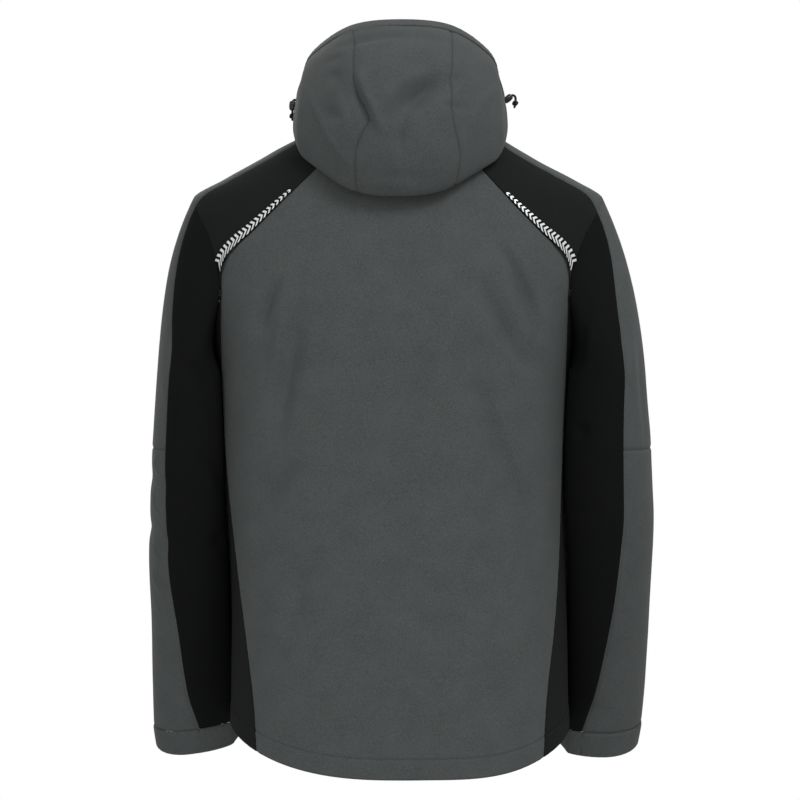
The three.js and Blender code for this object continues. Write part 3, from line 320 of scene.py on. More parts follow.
SLEEVE_CREASES = {
    "left": [
        crease(5, -2.4, (223, 90, -204), (212, 84, -249)),
        crease(7, -3.9, (239, 82, -278), (224, 80, -296), (211, 68, -316)),
        crease(6, 3, (236, 62, -401), (221, 55, -416), (212, 45, -439)),
        crease(7, -3.9, (227, 64, -386), (210, 52, -407), (205, 40, -436)),
        crease(7, -3.6, (221, 42, -486), (204, 28, -498)),
        crease(5, 2.1, (276, 62, -298), (273, 64, -321)),
        crease(4, 4, (285, 42, -386), (276, 50, -417)),
        crease(4, 4.2, (290, 32, -430), (282, 42, -463)),
        crease(4, 4, (293, 20, -490), (284, 30, -515)),
        crease(4, 4, (293, 8, -527), (284, 20, -552)),
        crease(4, 3.6, (292, -2, -556), (283, 10, -582)),
        crease(8, -3.9, (262, -72, -352), (220, -58, -372)),
        crease(7, -3.6, (290, -44, -386), (244, -68, -402)),
    ],
    "right": [
        crease(5, 2.4, (221, 96, -141), (218, 96, -173), (206, 92, -199)),
        crease(7, 3.3, (235, 88, -231), (223, 80, -281), (209, 68, -313)),
        crease(6, -2.7, (229, 88, -208), (214, 78, -261), (204, 66, -292)),
        crease(8, -4.5, (212, 66, -356), (227, 78, -368)),
        crease(6, -2.4, (200, 45, -456), (231, 66, -454), (241, 66, -430)),
        crease(5, 3, (277, 80, -194), (286, 72, -230), (285, 72, -265), (277, 80, -295), (275, 78, -325)),
        crease(9, -3, (292, 60, -240), (293, 60, -300), (295, 55, -390)),
        crease(4, -3, (282, 20, -488), (304, -18, -478)),
        crease(5, -2.2, (275, 12, -610), (287, 0, -595)),
        crease(8, -4.2, (264, -70, -340), (222, -56, -366)),
        crease(7, -3.3, (292, -46, -396), (246, -64, -410)),
    ],
}

# %% [markdown]
# All shapes are worked out as numpy arrays, because the sheets have thousands of points. A column of a
# table becomes a smooth function that never overshoots between two rows, so a ring table with a few
# rows gives a calm silhouette.

# %% Smooth columns
def hermite(start, leave, end, arrive, t):
    """The curve from start to end that leaves and arrives the given ways."""
    return (
        start * (2 * t**3 - 3 * t**2 + 1)
        + leave * (t**3 - 2 * t**2 + t)
        + end * (3 * t**2 - 2 * t**3)
        + arrive * (t**3 - t**2)
    )


def smooth_column(rows, name, key="z"):
    rows = sorted(rows, key=lambda row: row[key])
    x = np.array([row[key] for row in rows], float)
    y = np.array([row[name] for row in rows], float)
    slope = np.diff(y) / np.diff(x)
    before = np.append(slope[:1], slope)
    after = np.append(slope, slope[-1:])
    same_way = before * after > 0
    total = np.where(same_way, before + after, 1)
    tangent = np.where(same_way, 2 * before * after / total, 0)

    def at(place):
        place = np.asarray(place, float)
        i = np.clip(np.searchsorted(x, place) - 1, 0, len(x) - 2)
        h = x[i + 1] - x[i]
        t = np.clip((place - x[i]) / h, 0, 1)
        beyond = np.minimum(place - x[0], 0) * tangent[0] + np.maximum(place - x[-1], 0) * tangent[-1]
        return hermite(y[i], h * tangent[i], y[i + 1], h * tangent[i + 1], t) + beyond

    return at


ring = {name: smooth_column(BODY, name) for name in ("side", "back", "front", "square")}
seam_x = smooth_column(BACK_SEAM, "x")
sway_at = smooth_column(SWAY, "x")
shoulder_drop = smooth_column(SHOULDERS, "drop", "x")
arms = {
    side: {name: smooth_column(rows, name) for name in ("x", "y", "wide", "deep", "tip", "lean", "seam")}
    for side, rows in SLEEVE.items()
}


# %% Small helpers
def unit(v):
    return v / np.maximum(np.linalg.norm(v, axis=-1, keepdims=True), 1e-9)


def lerp(a, b, t):
    return a + (b - a) * t


def smoothstep(x, low, high):
    t = np.clip((x - low) / (high - low), 0, 1)
    return t * t * (3 - 2 * t)


def cos_sin(degrees):
    return np.cos(np.radians(degrees)), np.sin(np.radians(degrees))


def same_shape(*given):
    """Numbers or grids, as float grids of one shape."""
    return np.broadcast_arrays(*(np.asarray(value, float) for value in given))


def run_along(points):
    """How far along a line each of its points is."""
    return np.append(0, np.cumsum(np.linalg.norm(np.diff(points, axis=0), axis=-1)))


def picked(at, run, points):
    """Points of a line at other places along it."""
    return np.stack([np.interp(at, run, points[:, k]) for k in range(points.shape[1])], axis=-1)


def push_of(points, folds):
    """How far the folds push each point out, or in where the number is below nought."""
    push = np.zeros(points.shape[:-1])
    for row in folds:
        path = np.array(row["along"], float)
        started = run_along(path)
        away = np.full(push.shape, np.inf)
        along = np.zeros(push.shape)
        for a, b, start, end in zip(path[:-1], path[1:], started[:-1], started[1:]):
            t = np.clip((points - a) @ (b - a) / (end - start) ** 2, 0, 1)
            distance = np.linalg.norm(points - a - t[..., None] * (b - a), axis=-1)
            nearer = distance < away
            away = np.where(nearer, distance, away)
            along = np.where(nearer, lerp(start, end, t) / started[-1], along)
        faded = lerp(row["ends"], 1, np.sin(np.pi * along))
        push += row["deep"] * np.exp(-((away / row["wide"]) ** 2)) * faded
    return push


class Surface:
    """A bare form over two parameters, with folds pushed along its outward normal."""

    def __init__(self, bare, steps, folds, outward):
        self.bare = bare
        self.steps = steps
        self.folds = folds
        self.outward = outward

    def normal(self, a, b):
        da, db = self.steps
        across = self.bare(a + da, b) - self.bare(a - da, b)
        along = self.bare(a, b + db) - self.bare(a, b - db)
        n = unit(np.cross(across, along))
        facing = np.sum(n * self.outward(a, b, self.bare(a, b)), axis=-1)
        return n * np.where(facing < 0, -1, 1)[..., None]

    def point(self, a, b, creases=()):
        p = self.bare(a, b)
        return p + self.normal(a, b) * push_of(p, [*self.folds, *creases])[..., None]


# %% [markdown]
# The body comes first. A ring is a superellipse, rounder at the shoulders and squarer at the hem. The
# neck seam and the armhole are eggs laid on it: one from above, one from the side.

# %% Body surface
def body_bare(u, z):
    u, z = same_shape(u, z)
    power = 2 / ring["square"](z)
    c, s = cos_sin(u)
    depth = np.where(s >= 0, ring["back"](z), ring["front"](z))
    x = ring["side"](z) * np.sign(c) * np.abs(c) ** power
    y = depth * np.sign(s) * np.abs(s) ** power
    return np.stack([x, y, z], axis=-1)


def up_and_out(u, z, p):
    return p * (1, 1, 0) + (0, 0, 60)


body = Surface(body_bare, (0.4, 1), BODY_FOLDS, up_and_out)


def angle_of_x(x, z):
    return np.degrees(np.arccos(np.minimum(1, x / ring["side"](z)) ** (ring["square"](z) / 2)))


def angle_of_y(y, z):
    depth = np.where(y >= 0, ring["back"](z), ring["front"](z))
    share = np.minimum(1, np.abs(y) / depth) ** (ring["square"](z) / 2)
    return np.sign(y) * np.degrees(np.arcsin(share))


def hem_z(u):
    s = np.sin(np.radians(u))
    drop = np.where(s > 0, HEM_BACK_DROP, HEM_FRONT_DROP)
    return HEM_SIDE_Z - drop * np.abs(s) ** HEM_CURVE


def back_seam_at(z):
    return angle_of_x(seam_x(z), z), z


def neck_at(angle):
    c, s = cos_sin(angle)
    x = NECK["side"] * c
    y = np.where(s >= 0, NECK["back"], NECK["front"]) * s
    low = np.full(np.shape(x), -140.0)
    high = np.full(np.shape(x), 6.0)
    for _ in range(40):
        z = (low + high) / 2
        depth = np.where(y >= 0, ring["back"](z), ring["front"](z))
        n = ring["square"](z)
        inside = (np.abs(x) / ring["side"](z)) ** n + (np.abs(y) / depth) ** n < 1
        low = np.where(inside, z, low)
        high = np.where(inside, high, z)
    u = angle_of_y(y, low)
    return np.where(x < 0, 180 - u, u), low


def armhole_z(turn):
    middle = (ARMHOLE["top"] + ARMHOLE["bottom"]) / 2
    return middle + (ARMHOLE["top"] - ARMHOLE["bottom"]) / 2 * np.cos(np.radians(turn))


join_z = float(armhole_z(ARMHOLE_JOIN))
armhole_back = body_bare(*back_seam_at(join_z))[1] / math.sin(math.radians(ARMHOLE_JOIN))


def armhole_at(turn):
    s = np.sin(np.radians(turn))
    z = armhole_z(turn)
    below = np.clip((turn - ARMHOLE_JOIN) / (180 - ARMHOLE_JOIN), 0, 1)
    dent = 1 - ARMHOLE["dent"] * np.sin(np.pi * below) ** 2
    return angle_of_y(np.where(s >= 0, armhole_back * dent, ARMHOLE["front"]) * s, z), z


neck_foot = float(neck_at(ZIP_ANGLE)[1])
print("back length from the neck", round(float(neck_at(90)[1] - hem_z(90))), "mm")

# %% [markdown]
# A sleeve is a tube of tipped rings. Between the armhole and its first ring it follows smooth curves
# that leave the shoulder outwards and arrive straight down. Where it would pass through the body it is
# pressed flat against it, as a real sleeve is, with a sliver of air between.

# %% Sleeve surfaces
ROW_MM = 100
FIRST_RING_Z = -300


def row_of_z(z):
    return 1 + (FIRST_RING_Z - z) / ROW_MM


def off_body(p):
    x, y, z = np.moveaxis(p, -1, 0)
    n = ring["square"](z)
    share = np.abs(y) / (np.where(y > 0, ring["back"](z), ring["front"](z)) + SLEEVE_OFF_BODY)
    least = (ring["side"](z) + SLEEVE_OFF_BODY) * np.maximum(0, 1 - share**n) ** (1 / n)
    soft = 3
    moved = least + (x - least + np.hypot(x - least, soft)) / 2 - soft / 4
    return np.stack([np.where(share >= 1, x, moved), y, z], axis=-1)


def sleeve_ring(arm, turn, z):
    c, s = cos_sin(turn)
    tip = np.radians(arm["tip"](z))
    pressed = np.where(c < 0, SLEEVE_PRESSED, 0)
    x = arm["x"](z) + (arm["wide"](z) + pressed) * c
    y = arm["y"](z) + arm["deep"](z) * s * np.cos(tip)
    down = arm["deep"](z) * s * np.sin(tip) + arm["wide"](z) * c * np.sin(np.radians(arm["lean"](z)))
    return off_body(np.stack(np.broadcast_arrays(x, y, z - down), axis=-1))


def sleeve_bare(arm, turn, row):
    turn, row = same_shape(turn, np.maximum(row, 0))
    below = sleeve_ring(arm, turn, FIRST_RING_Z - (np.maximum(row, 1) - 1) * ROW_MM)
    start = body.point(*armhole_at(turn))
    end = sleeve_ring(arm, turn, np.full(turn.shape, float(FIRST_RING_Z)))
    next_down = sleeve_ring(arm, turn, np.full(turn.shape, FIRST_RING_Z - 4.0))
    reach = np.linalg.norm(end - start, axis=-1, keepdims=True)
    c, s = cos_sin(turn)
    outwards = 0.28 + np.where(c > 0, 0.17, 0.02) * c
    leave = unit(np.stack([outwards, 0.22 * s, np.full(turn.shape, -0.92)], axis=-1)) * reach
    arrive = unit(next_down - end) * reach
    cap = hermite(start, leave, end, arrive, np.minimum(row, 1)[..., None])
    return np.where((row >= 1)[..., None], below, cap)


def out_of_arm(turn, row, p):
    c, s = cos_sin(turn)
    return np.stack(np.broadcast_arrays(c, s, np.where(row < 1, 0.4, 0)), axis=-1)


sleeves = {
    side: Surface(
        lambda turn, row, arm=arms[side]: sleeve_bare(arm, turn, row),
        (2, 0.02),
        SLEEVE_FOLDS[side],
        out_of_arm,
    )
    for side in SIDES
}

# %% [markdown]
# The hood is a net of given points, smoothed both ways by the curve that passes through its
# points. Row 0 is the middle of the back, and a row below nought is the mirror of the one above it.

# %% Hood surface
hood_angle = smooth_column([{"row": i, "angle": row["angle"]} for i, row in enumerate(HOOD)], "angle", "row")
half_net = np.array([list(row.values())[1:] for row in HOOD], float)
net = np.concatenate((half_net[:0:-1] * (-1, 1, 1), half_net))
past_start = 2 * net[:1] - net[1:2]
past_end = 2 * net[-1:] - net[-2:-1]
net = np.concatenate((past_start, past_start, net, past_end, past_end))
ROW_ZERO = len(HOOD) + 1
RIM = half_net.shape[1]


def through_four(a, b, c, d, t):
    return 0.5 * (2 * b + (c - a) * t + (2 * a - 5 * b + 4 * c - d) * t**2 + (3 * b - a - 3 * c + d) * t**3)


neck_rows = np.linspace(-6.4, 6.4, 1281)
neck_u, neck_z = neck_at(hood_angle(np.minimum(np.abs(neck_rows), len(HOOD) - 1)))
neck_line = body.point(neck_u, neck_z) + body.normal(neck_u, neck_z) * HOOD_OFF_NECK
neck_line[:, 0] *= np.where(neck_rows < 0, -1, 1)


def hood_neck(row):
    return picked(row, neck_rows, neck_line)


def hood_line(row, column):
    if column == 0:
        return hood_neck(row)
    if column < 0:
        return 2 * hood_neck(row) - hood_line(row, 1) - HOOD_LEAVES
    if column > RIM:
        return 2 * hood_line(row, RIM) - hood_line(row, RIM - 1)
    i = np.floor(row).astype(int)
    near = [net[i + ROW_ZERO + d, column - 1] for d in (-1, 0, 1, 2)]
    return through_four(*near, (row - i)[..., None])


def hood_bare(row, column):
    row, column = same_shape(row, column)
    lines = np.stack([hood_line(row, c) for c in range(-1, RIM + 3)])
    j = np.floor(column).astype(int)
    near = [np.take_along_axis(lines, (j + 1 + d)[None, ..., None], axis=0)[0] for d in (-1, 0, 1, 2)]
    return through_four(*near, (column - j)[..., None])


def hood_up(row, column):
    column = np.minimum(column, RIM - 0.1)
    return hood_bare(row, column) - hood_bare(row, column - 0.05)


def hood_round(row, column):
    return hood_bare(row + 0.05, column) - hood_bare(row - 0.05, column)


HOOD_MIDDLE = np.array([0, 40, 10])
middle_back = np.array([0.0]), np.array([4.0])
first_way = -np.cross(hood_round(*middle_back), hood_up(*middle_back))
hood_turn = float(np.sign(np.sum(first_way * (hood_bare(*middle_back) - HOOD_MIDDLE))))
hood = Surface(
    hood_bare,
    (0.03, 0.03),
    HOOD_FOLDS,
    lambda row, column, p: -np.cross(hood_round(row, column), hood_up(row, column)) * hood_turn,
)


def band_start_of(row):
    """The column at which the turned edge starts, its width short of the face edge."""
    column = np.full(row.shape, float(RIM))
    left = np.full(row.shape, float(BAND_WIDTH))
    step = 0.02
    while (left > 0).any():
        length = np.linalg.norm(hood_bare(row, column) - hood_bare(row, column - step), axis=-1)
        part = np.clip(left / length, 0, 1)
        left = left - np.where(left > 0, length, 0)
        column = column - step * part
    return column


band_rows = np.linspace(-6, 6, 97)
band_columns = band_start_of(band_rows)


def band_start(row):
    return np.interp(row, band_rows, band_columns)


# %% Collar surface
def collar_height(angle):
    return lerp(COLLAR_HEIGHT["front"], COLLAR_HEIGHT["back"], (1 + np.sin(np.radians(angle))) / 2)


def collar_bare(angle, height):
    angle, height = same_shape(angle, height)
    foot = body_bare(*neck_at(angle))
    inset = 1.7 + 2.8 * height
    lean = np.where(np.sin(np.radians(angle)) < 0, 1, 1 - 0.04 * height)
    flat = foot * (1, 1, 0)
    length = np.linalg.norm(flat, axis=-1)
    flat = unit(flat) * ((length - inset) * lean)[..., None]
    up = foot[..., 2] + COLLAR_OFF_NECK + collar_height(angle) * height
    return flat + up[..., None] * np.array([0, 0, 1])


collar = Surface(collar_bare, (1, 0.05), [], lambda angle, height, p: p * (1, 1, 0))


# %% [markdown]
# Every point ends with the same small shift: the coat hangs a little to one side of the neck, each
# shoulder slopes its own way, and the hem falls lower on the wearer's right.

# %% How it hangs
def hung(points):
    x, y, z = np.moveaxis(points, -1, 0)
    right = smoothstep(-x, HEM_RIGHT["from"], HEM_RIGHT["to"])
    low = smoothstep(-z, HEM_RIGHT["above"], HEM_RIGHT["below"])
    on_shoulder = smoothstep(z, SHOULDER_FADE["below"], SHOULDER_FADE["above"])
    off_neck = 1 - smoothstep(z, SHOULDER_FADE["neck_below"], SHOULDER_FADE["neck_above"])
    drop = HEM_RIGHT["drop"] * right * low + shoulder_drop(x) * on_shoulder * off_neck
    return np.stack([x + sway_at(z), y, z - drop], axis=-1)


# %% [markdown]
# Softshell looks smooth from a distance, but close up it has a fine woven face, a faint mottle where
# the two colours of yarn mix, and a matt, slightly fuzzy sheen. The weave follows each sheet's own UV
# map, which is in metres along the cloth, so it bends with the piece. The mottle reads Object
# coordinates, so it runs on across the seams. Grey and black cloth share one node group, which also
# darkens and lightens the colour by the sheets' painted seam shade and highlight. The side panels and
# yokes have a lighter copy of the black cloth: painted light, where the same fabric catches more light.

# %% Cloth finish
WEAVE_MM = 0.62


def set_inputs(made, values):
    """Gives a node's inputs numbers, colours or other nodes' outputs."""
    for name, value in values.items():
        if isinstance(value, bpy.types.NodeSocket):
            made.id_data.links.new(value, made.inputs[name])
        else:
            made.inputs[name].default_value = value


def node(tree, kind, inputs=None, **settings):
    made = tree.nodes.new(kind)
    for name, value in settings.items():
        setattr(made, name, value)
    set_inputs(made, inputs or {})
    return made


def maths(tree, operation, first, second=0.5, clamp=False):
    """A Math node with numbers or sockets for its inputs. Returns its output."""
    made = node(tree, "ShaderNodeMath", {0: first, 1: second}, operation=operation, use_clamp=clamp)
    return made.outputs[0]


def mix_colours(tree, factor, first, second):
    """A Mix node's colour output. Its colour sockets come after those for numbers and vectors."""
    inputs = {0: factor, 6: (*first, 1), 7: (*second, 1)}
    return node(tree, "ShaderNodeMix", inputs, data_type="RGBA").outputs[2]


def object_noise(tree, scale, detail, kind="ShaderNodeTexNoise"):
    """Noise over the whole jacket, whose grain is one scale-th of a metre."""
    place = node(tree, "ShaderNodeTexCoord").outputs["Object"]
    return node(tree, kind, {"Vector": place, "Scale": scale, "Detail": detail}).outputs[0]


def weave_group():
    """Height and tone of a fine plain weave, from a UV map in metres, and the factor of the sheets'
    painted seam shade and highlight.
    """
    group = bpy.data.node_groups.new("softshell weave", "ShaderNodeTree")
    for name, value in (("Yarn", WEAVE_MM * MM), ("Mottle", 0.5), ("Painted Light", 0.5)):
        socket = group.interface.new_socket(name=name, in_out="INPUT", socket_type="NodeSocketFloat")
        socket.default_value = value
    for name in ("Tone", "Shade", "Height"):
        group.interface.new_socket(name=name, in_out="OUTPUT", socket_type="NodeSocketFloat")
    given = node(group, "NodeGroupInput")
    place = node(group, "ShaderNodeUVMap", uv_map="cloth")
    split = node(group, "ShaderNodeSeparateXYZ", {0: place.outputs["UV"]})
    waves = []
    for axis in ("X", "Y"):
        turns = maths(group, "DIVIDE", split.outputs[axis], given.outputs["Yarn"])
        waves.append(maths(group, "SINE", maths(group, "MULTIPLY", turns, 2 * math.pi)))
    cross = maths(group, "MULTIPLY", *waves)
    cloudy = maths(group, "MULTIPLY", maths(group, "SUBTRACT", object_noise(group, 34, 4), 0.5), 0.25)
    specks = maths(group, "SUBTRACT", object_noise(group, 900, 2), 0.5)
    tone = maths(group, "MULTIPLY", maths(group, "ADD", cloudy, specks), given.outputs["Mottle"])
    tone = maths(group, "ADD", tone, maths(group, "MULTIPLY", cross, 0.05))
    # Painted light: the sheets' edge attribute darkens seams and hems and lightens rolled grey edges.
    edge = node(group, "ShaderNodeAttribute", attribute_name="edge")
    painted_light = maths(group, "MULTIPLY", edge.outputs["Fac"], given.outputs["Painted Light"])
    given_out = {
        "Tone": maths(group, "ADD", tone, 0.5),
        "Shade": maths(group, "ADD", painted_light, 1.0),
        "Height": maths(group, "ADD", maths(group, "MULTIPLY", cross, 0.5), specks),
    }
    node(group, "NodeGroupOutput", given_out)
    return group


WEAVE = weave_group()


def plain_material(name, colour, roughness, gloss=0.5, metallic=0.0):
    material = bpy.data.materials.new(name)
    material.use_nodes = True
    shader = material.node_tree.nodes["Principled BSDF"]
    set_inputs(shader, {"Base Color": (*colour, 1), "Roughness": roughness, "Specular IOR Level": gloss})
    set_inputs(shader, {"Metallic": metallic})
    return material, material.node_tree, shader


def bump_of(tree, height, strength, relief_mm):
    inputs = {"Strength": strength, "Distance": relief_mm * MM, "Height": height}
    return node(tree, "ShaderNodeBump", inputs).outputs[0]


def cloth_material(name, dark, light, roughness, gloss, sheen, mottle, relief_mm=0.06):
    material, tree, shader = plain_material(name, light, roughness, gloss)
    weave = node(tree, "ShaderNodeGroup", node_tree=WEAVE)
    set_inputs(weave, {"Mottle": mottle})
    colour = mix_colours(tree, weave.outputs["Tone"], dark, light)
    # The colour made darker or lighter by the painted seam shade and highlight.
    colour_with_painted_light = node(tree, "ShaderNodeHueSaturation", {"Value": weave.outputs["Shade"], "Color": colour})
    bump = bump_of(tree, weave.outputs["Height"], 0.7, relief_mm)
    set_inputs(shader, {"Base Color": colour_with_painted_light.outputs[0], "Normal": bump})
    set_inputs(shader, {"Sheen Weight": sheen, "Sheen Roughness": 0.5})
    return material


grey_cloth = cloth_material(
    "grey softshell", (0.036, 0.040, 0.0397), (0.074, 0.081, 0.0802),
    roughness=0.84, gloss=0.2, sheen=0.04, mottle=1.8,
)
black_cloth = cloth_material(
    "black softshell", (0.0024, 0.0026, 0.0026), (0.0052, 0.0056, 0.0056),
    roughness=0.88, gloss=0.09, sheen=0.0, mottle=0.6,
)
# A lighter copy of the black cloth: painted light, where the same fabric catches more light.
lit_black_cloth = cloth_material(
    "black softshell painted lighter", (0.0050, 0.0056, 0.0054), (0.0102, 0.0111, 0.0108),
    roughness=0.88, gloss=0.12, sheen=0.0, mottle=0.8,
)
fleece = cloth_material(
    "fleece inside", (0.007, 0.008, 0.008), (0.016, 0.017, 0.017),
    roughness=0.95, gloss=0.1, sheen=0.1, mottle=1.2, relief_mm=0.4,
)


# %% [markdown]
# A sheet starts as a bmesh grid. Its points are then laid on the surface, and the edges get what a
# sewn edge has: the cloth rolls under at a seam, a row of topstitching holds a shallow groove beside
# it, and between the stitches the cloth puckers a little. Each edge also gets a thin line of painted
# light, kept on the vertices for the material: painted shade in a seam or in the hem's groove, and a
# painted highlight where a grey edge rolls beside black cloth. The grid's lines stand closer together
# by the edges, where all this happens. A Solidify modifier gives the wall, with fleece inside.

# %% Sheets of cloth
ROLL_DEEP = 1.1
ROLL_WIDE = 1.9
GROOVE_DEEP = 0.35
GROOVE_WIDE = 1.1
HEM_THICKER = 0.7
HEM_ROUND = 1.1
PUCKER = 0.28
PUCKER_WIDE = 9
PAINTED_LIGHT_WIDE = 0.9
EDGE_STOPS = [0, 0.6, 1.3, 2.2, 3.3, 4.8, 6.6, 9]


def stops(length, step=4.6):
    """Places from 0 to 1 along a strip of this length, closer together by both ends."""
    edge = np.array(EDGE_STOPS)
    if length < 3 * edge[-1]:
        edge = edge * length / (3 * edge[-1])
    count = max(3, round((length - 2 * edge[-1]) / step) + 1)
    middle = np.linspace(edge[-1], length - edge[-1], count)[1:-1]
    return np.concatenate((edge, middle, length - edge[::-1])) / length


def hem_stops(length):
    """The same with rows close enough together to carry the hem's groove."""
    return np.sort(np.concatenate((stops(length), np.arange(16.4, 26.5, 0.8) / length)))


def wander(x, seed):
    """An uneven wave of about 9 mm along a seam, between -1 and 1."""
    return (
        0.5 * np.sin(x / 1.45 + seed)
        + 0.3 * np.sin(x / 0.97 + 2.3 * seed)
        + 0.2 * np.sin(x / 2.3 + 4.1 * seed)
    )


def uneven(points):
    """The slight unevenness of a large piece of cloth, in mm."""
    x, y, z = np.moveaxis(points, -1, 0)
    return (
        0.40 * np.sin(x / 31 + z / 83 + 1.0)
        + 0.35 * np.sin(z / 47 - x / 61 + y / 39)
        + 0.25 * np.sin(x / 17 - z / 29 + 2.0) * np.sin(z / 71 + 0.7)
    )


def grid_normals(points, outward):
    across = np.gradient(points, axis=0)
    along = np.gradient(points, axis=1)
    n = unit(np.cross(across, along))
    return n * np.where(np.sum(n * outward) < 0, -1, 1)


def edge_distances(points):
    """How far each place of a grid is from its four edges, along the cloth."""
    across = np.linalg.norm(np.diff(points, axis=0), axis=-1)
    along = np.linalg.norm(np.diff(points, axis=1), axis=-1)
    near = np.concatenate((np.zeros((1, points.shape[1])), np.cumsum(across, axis=0)))
    low = np.concatenate((np.zeros((points.shape[0], 1)), np.cumsum(along, axis=1)), axis=1)
    return {"near": near, "far": near[-1:] - near, "low": low, "top": low[:, -1:] - low}


class Sheet:
    """The points of one piece of cloth, what its edges are, and where stitching can run on it."""

    def __init__(self, points, outward, edges, closed=False, seed=1.0):
        distance = edge_distances(points)
        self.closed = closed
        normals = grid_normals(points, outward)
        lift = uneven(points)
        self.painted_light = np.zeros(lift.shape)
        for k, (edge, finish) in enumerate(edges.items()):
            d = distance[edge]
            run = distance["low" if edge in ("near", "far") else "near"]
            share = run / run.max(axis=1 if edge in ("near", "far") else 0, keepdims=True)
            if finish["kind"] == "seam":
                sewn_in = 1 - smoothstep(share, finish["until"] - 0.03, finish["until"])
                lift = lift - ROLL_DEEP * sewn_in * np.exp(-((d / ROLL_WIDE) ** 2))
            else:
                thicker = HEM_THICKER * smoothstep(finish["wide"] + 1 - d, 0, 3)
                lift = lift + thicker - np.exp(-((d / HEM_ROUND) ** 2))
            for row in finish["stitches"]:
                lift = lift - GROOVE_DEEP * np.exp(-(((d - row) / GROOVE_WIDE) ** 2))
            puckers = finish["pucker"] * PUCKER * wander(run, seed + k)
            lift = lift + puckers * np.exp(-((d / PUCKER_WIDE) ** 2))
            # Painted light along the edge: shade in a seam or in the hem's groove, or a highlight on a
            # rolled grey edge.
            painted_light_row = finish["wide"] if finish["kind"] == "hem" else 0
            self.painted_light += finish["painted_light"] * np.exp(-(((d - painted_light_row) / PAINTED_LIGHT_WIDE) ** 2))
        self.points = hung(points + normals * lift[..., None])
        self.normals = grid_normals(self.points, outward)
        self.distance = edge_distances(self.points)
        self.edges = edges
        cells = [np.linalg.norm(np.diff(self.points, axis=k), axis=-1) for k in (0, 1)]
        self.width = float(cells[0].sum(axis=0).max())
        self.length = float(cells[1].sum(axis=1).max())
        a = self.points[1:, 1:] - self.points[:-1, :-1]
        b = self.points[1:, :-1] - self.points[:-1, 1:]
        self.area = float(np.linalg.norm(np.cross(a, b), axis=-1).sum() / 2)

    def line_inside(self, edge, inset):
        """Points and normals of a line that runs beside an edge, this far in along the cloth."""
        fields = [self.points, self.normals, self.distance[edge]]
        if edge in ("low", "top"):
            fields = [field.swapaxes(0, 1) for field in fields]
        if edge in ("far", "top"):
            fields = [field[::-1] for field in fields]
        points, normals, d = fields
        past = np.maximum(np.argmax(d >= inset, axis=0), 1)
        column = np.arange(d.shape[1])
        t = (inset - d[past - 1, column]) / np.maximum(d[past, column] - d[past - 1, column], 1e-6)
        t = np.clip(t, 0, 1)[:, None]
        return lerp(points[past - 1, column], points[past, column], t), normals[past, column]


def laid_grid(points, painted_light=None, closed=False):
    """A bmesh grid with its vertices laid on points, which also keeps any painted seam shade and
    highlight on them. A closed one wraps round and has its ends filled.
    """
    count_i, count_j = points.shape[:2]
    bm = bmesh.new()
    uv = bm.loops.layers.uv.new("cloth")
    painted_light_layer = bm.verts.layers.float.new("edge")
    bmesh.ops.create_grid(bm, x_segments=count_i - 1, y_segments=count_j - 1, size=0.5)
    run = edge_distances(points)
    place = {}
    for vertex in bm.verts:
        i = round((vertex.co.x + 0.5) * (count_i - 1))
        j = round((vertex.co.y + 0.5) * (count_j - 1))
        place[vertex] = (i, j)
        vertex.co = Vector(points[i, j] * MM)
        if painted_light is not None:
            vertex[painted_light_layer] = painted_light[i, j]
    for face in bm.faces:
        face.smooth = True
        for loop in face.loops:
            i, j = place[loop.vert]
            loop[uv].uv = (run["near"][i, j] * MM, run["low"][i, j] * MM)
    if closed:
        bmesh.ops.remove_doubles(bm, verts=bm.verts, dist=0.02 * MM)
        bmesh.ops.holes_fill(bm, edges=[edge for edge in bm.edges if edge.is_boundary], sides=0)
        bmesh.ops.recalc_face_normals(bm, faces=bm.faces)
    return bm, place


def mesh_of(name, bm):
    mesh = bpy.data.meshes.new(name)
    bm.to_mesh(mesh)
    bm.free()
    return mesh


def in_scene(name, mesh, materials):
    for material in materials:
        mesh.materials.append(material)
    made = bpy.data.objects.new(name, mesh)
    scene.collection.objects.link(made)
    return made


def new_piece(name, mesh, materials, body_name="jacket"):
    if isinstance(mesh, bmesh.types.BMesh):
        mesh = mesh_of(name, mesh)
    piece = in_scene(name, mesh, materials)
    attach(piece, body_name)
    return piece


def sheet_object(name, sheet, materials, thick=CLOTH):
    bm, place = laid_grid(sheet.points, sheet.painted_light)
    bm.normal_update()
    some = list(bm.faces)[:: max(1, len(bm.faces) // 200)]
    if sum(face.normal.dot(Vector(sheet.normals[place[face.verts[0]]])) for face in some) < 0:
        bmesh.ops.reverse_faces(bm, faces=bm.faces)
    if sheet.closed:
        bmesh.ops.remove_doubles(bm, verts=bm.verts, dist=0.05 * MM)
    faces = len(bm.faces)
    piece = new_piece(name, bm, materials)
    wall = piece.modifiers.new("wall", "SOLIDIFY")
    wall.thickness = thick * MM
    wall.offset = -1
    wall.use_even_offset = False
    wall.material_offset = len(materials) - 1
    wall.material_offset_rim = 0
    print(f"{name}: {sheet.width:.0f} x {sheet.length:.0f} mm, {sheet.area / 1e6:.3f} m2, {faces} faces")
    return piece


# %% [markdown]
# Edges that two pieces share are written once, as dense lines of places on the body, so that the
# pieces meet all the way. A patch runs from a near edge to a far edge, and its lowest rows bend to the
# curve of the hem.

# %% Shared edges
DENSE = 160


def places(u, z):
    return np.stack(same_shape(u, z))


def joined(*parts):
    return np.concatenate([parts[0], *[part[:, 1:] for part in parts[1:]]], axis=1)


def resampled(edge, count):
    """The same edge with its places evenly spaced along the cloth."""
    run = run_along(body_bare(*edge))
    return picked(np.linspace(0, run[-1], count), run, edge.T).T


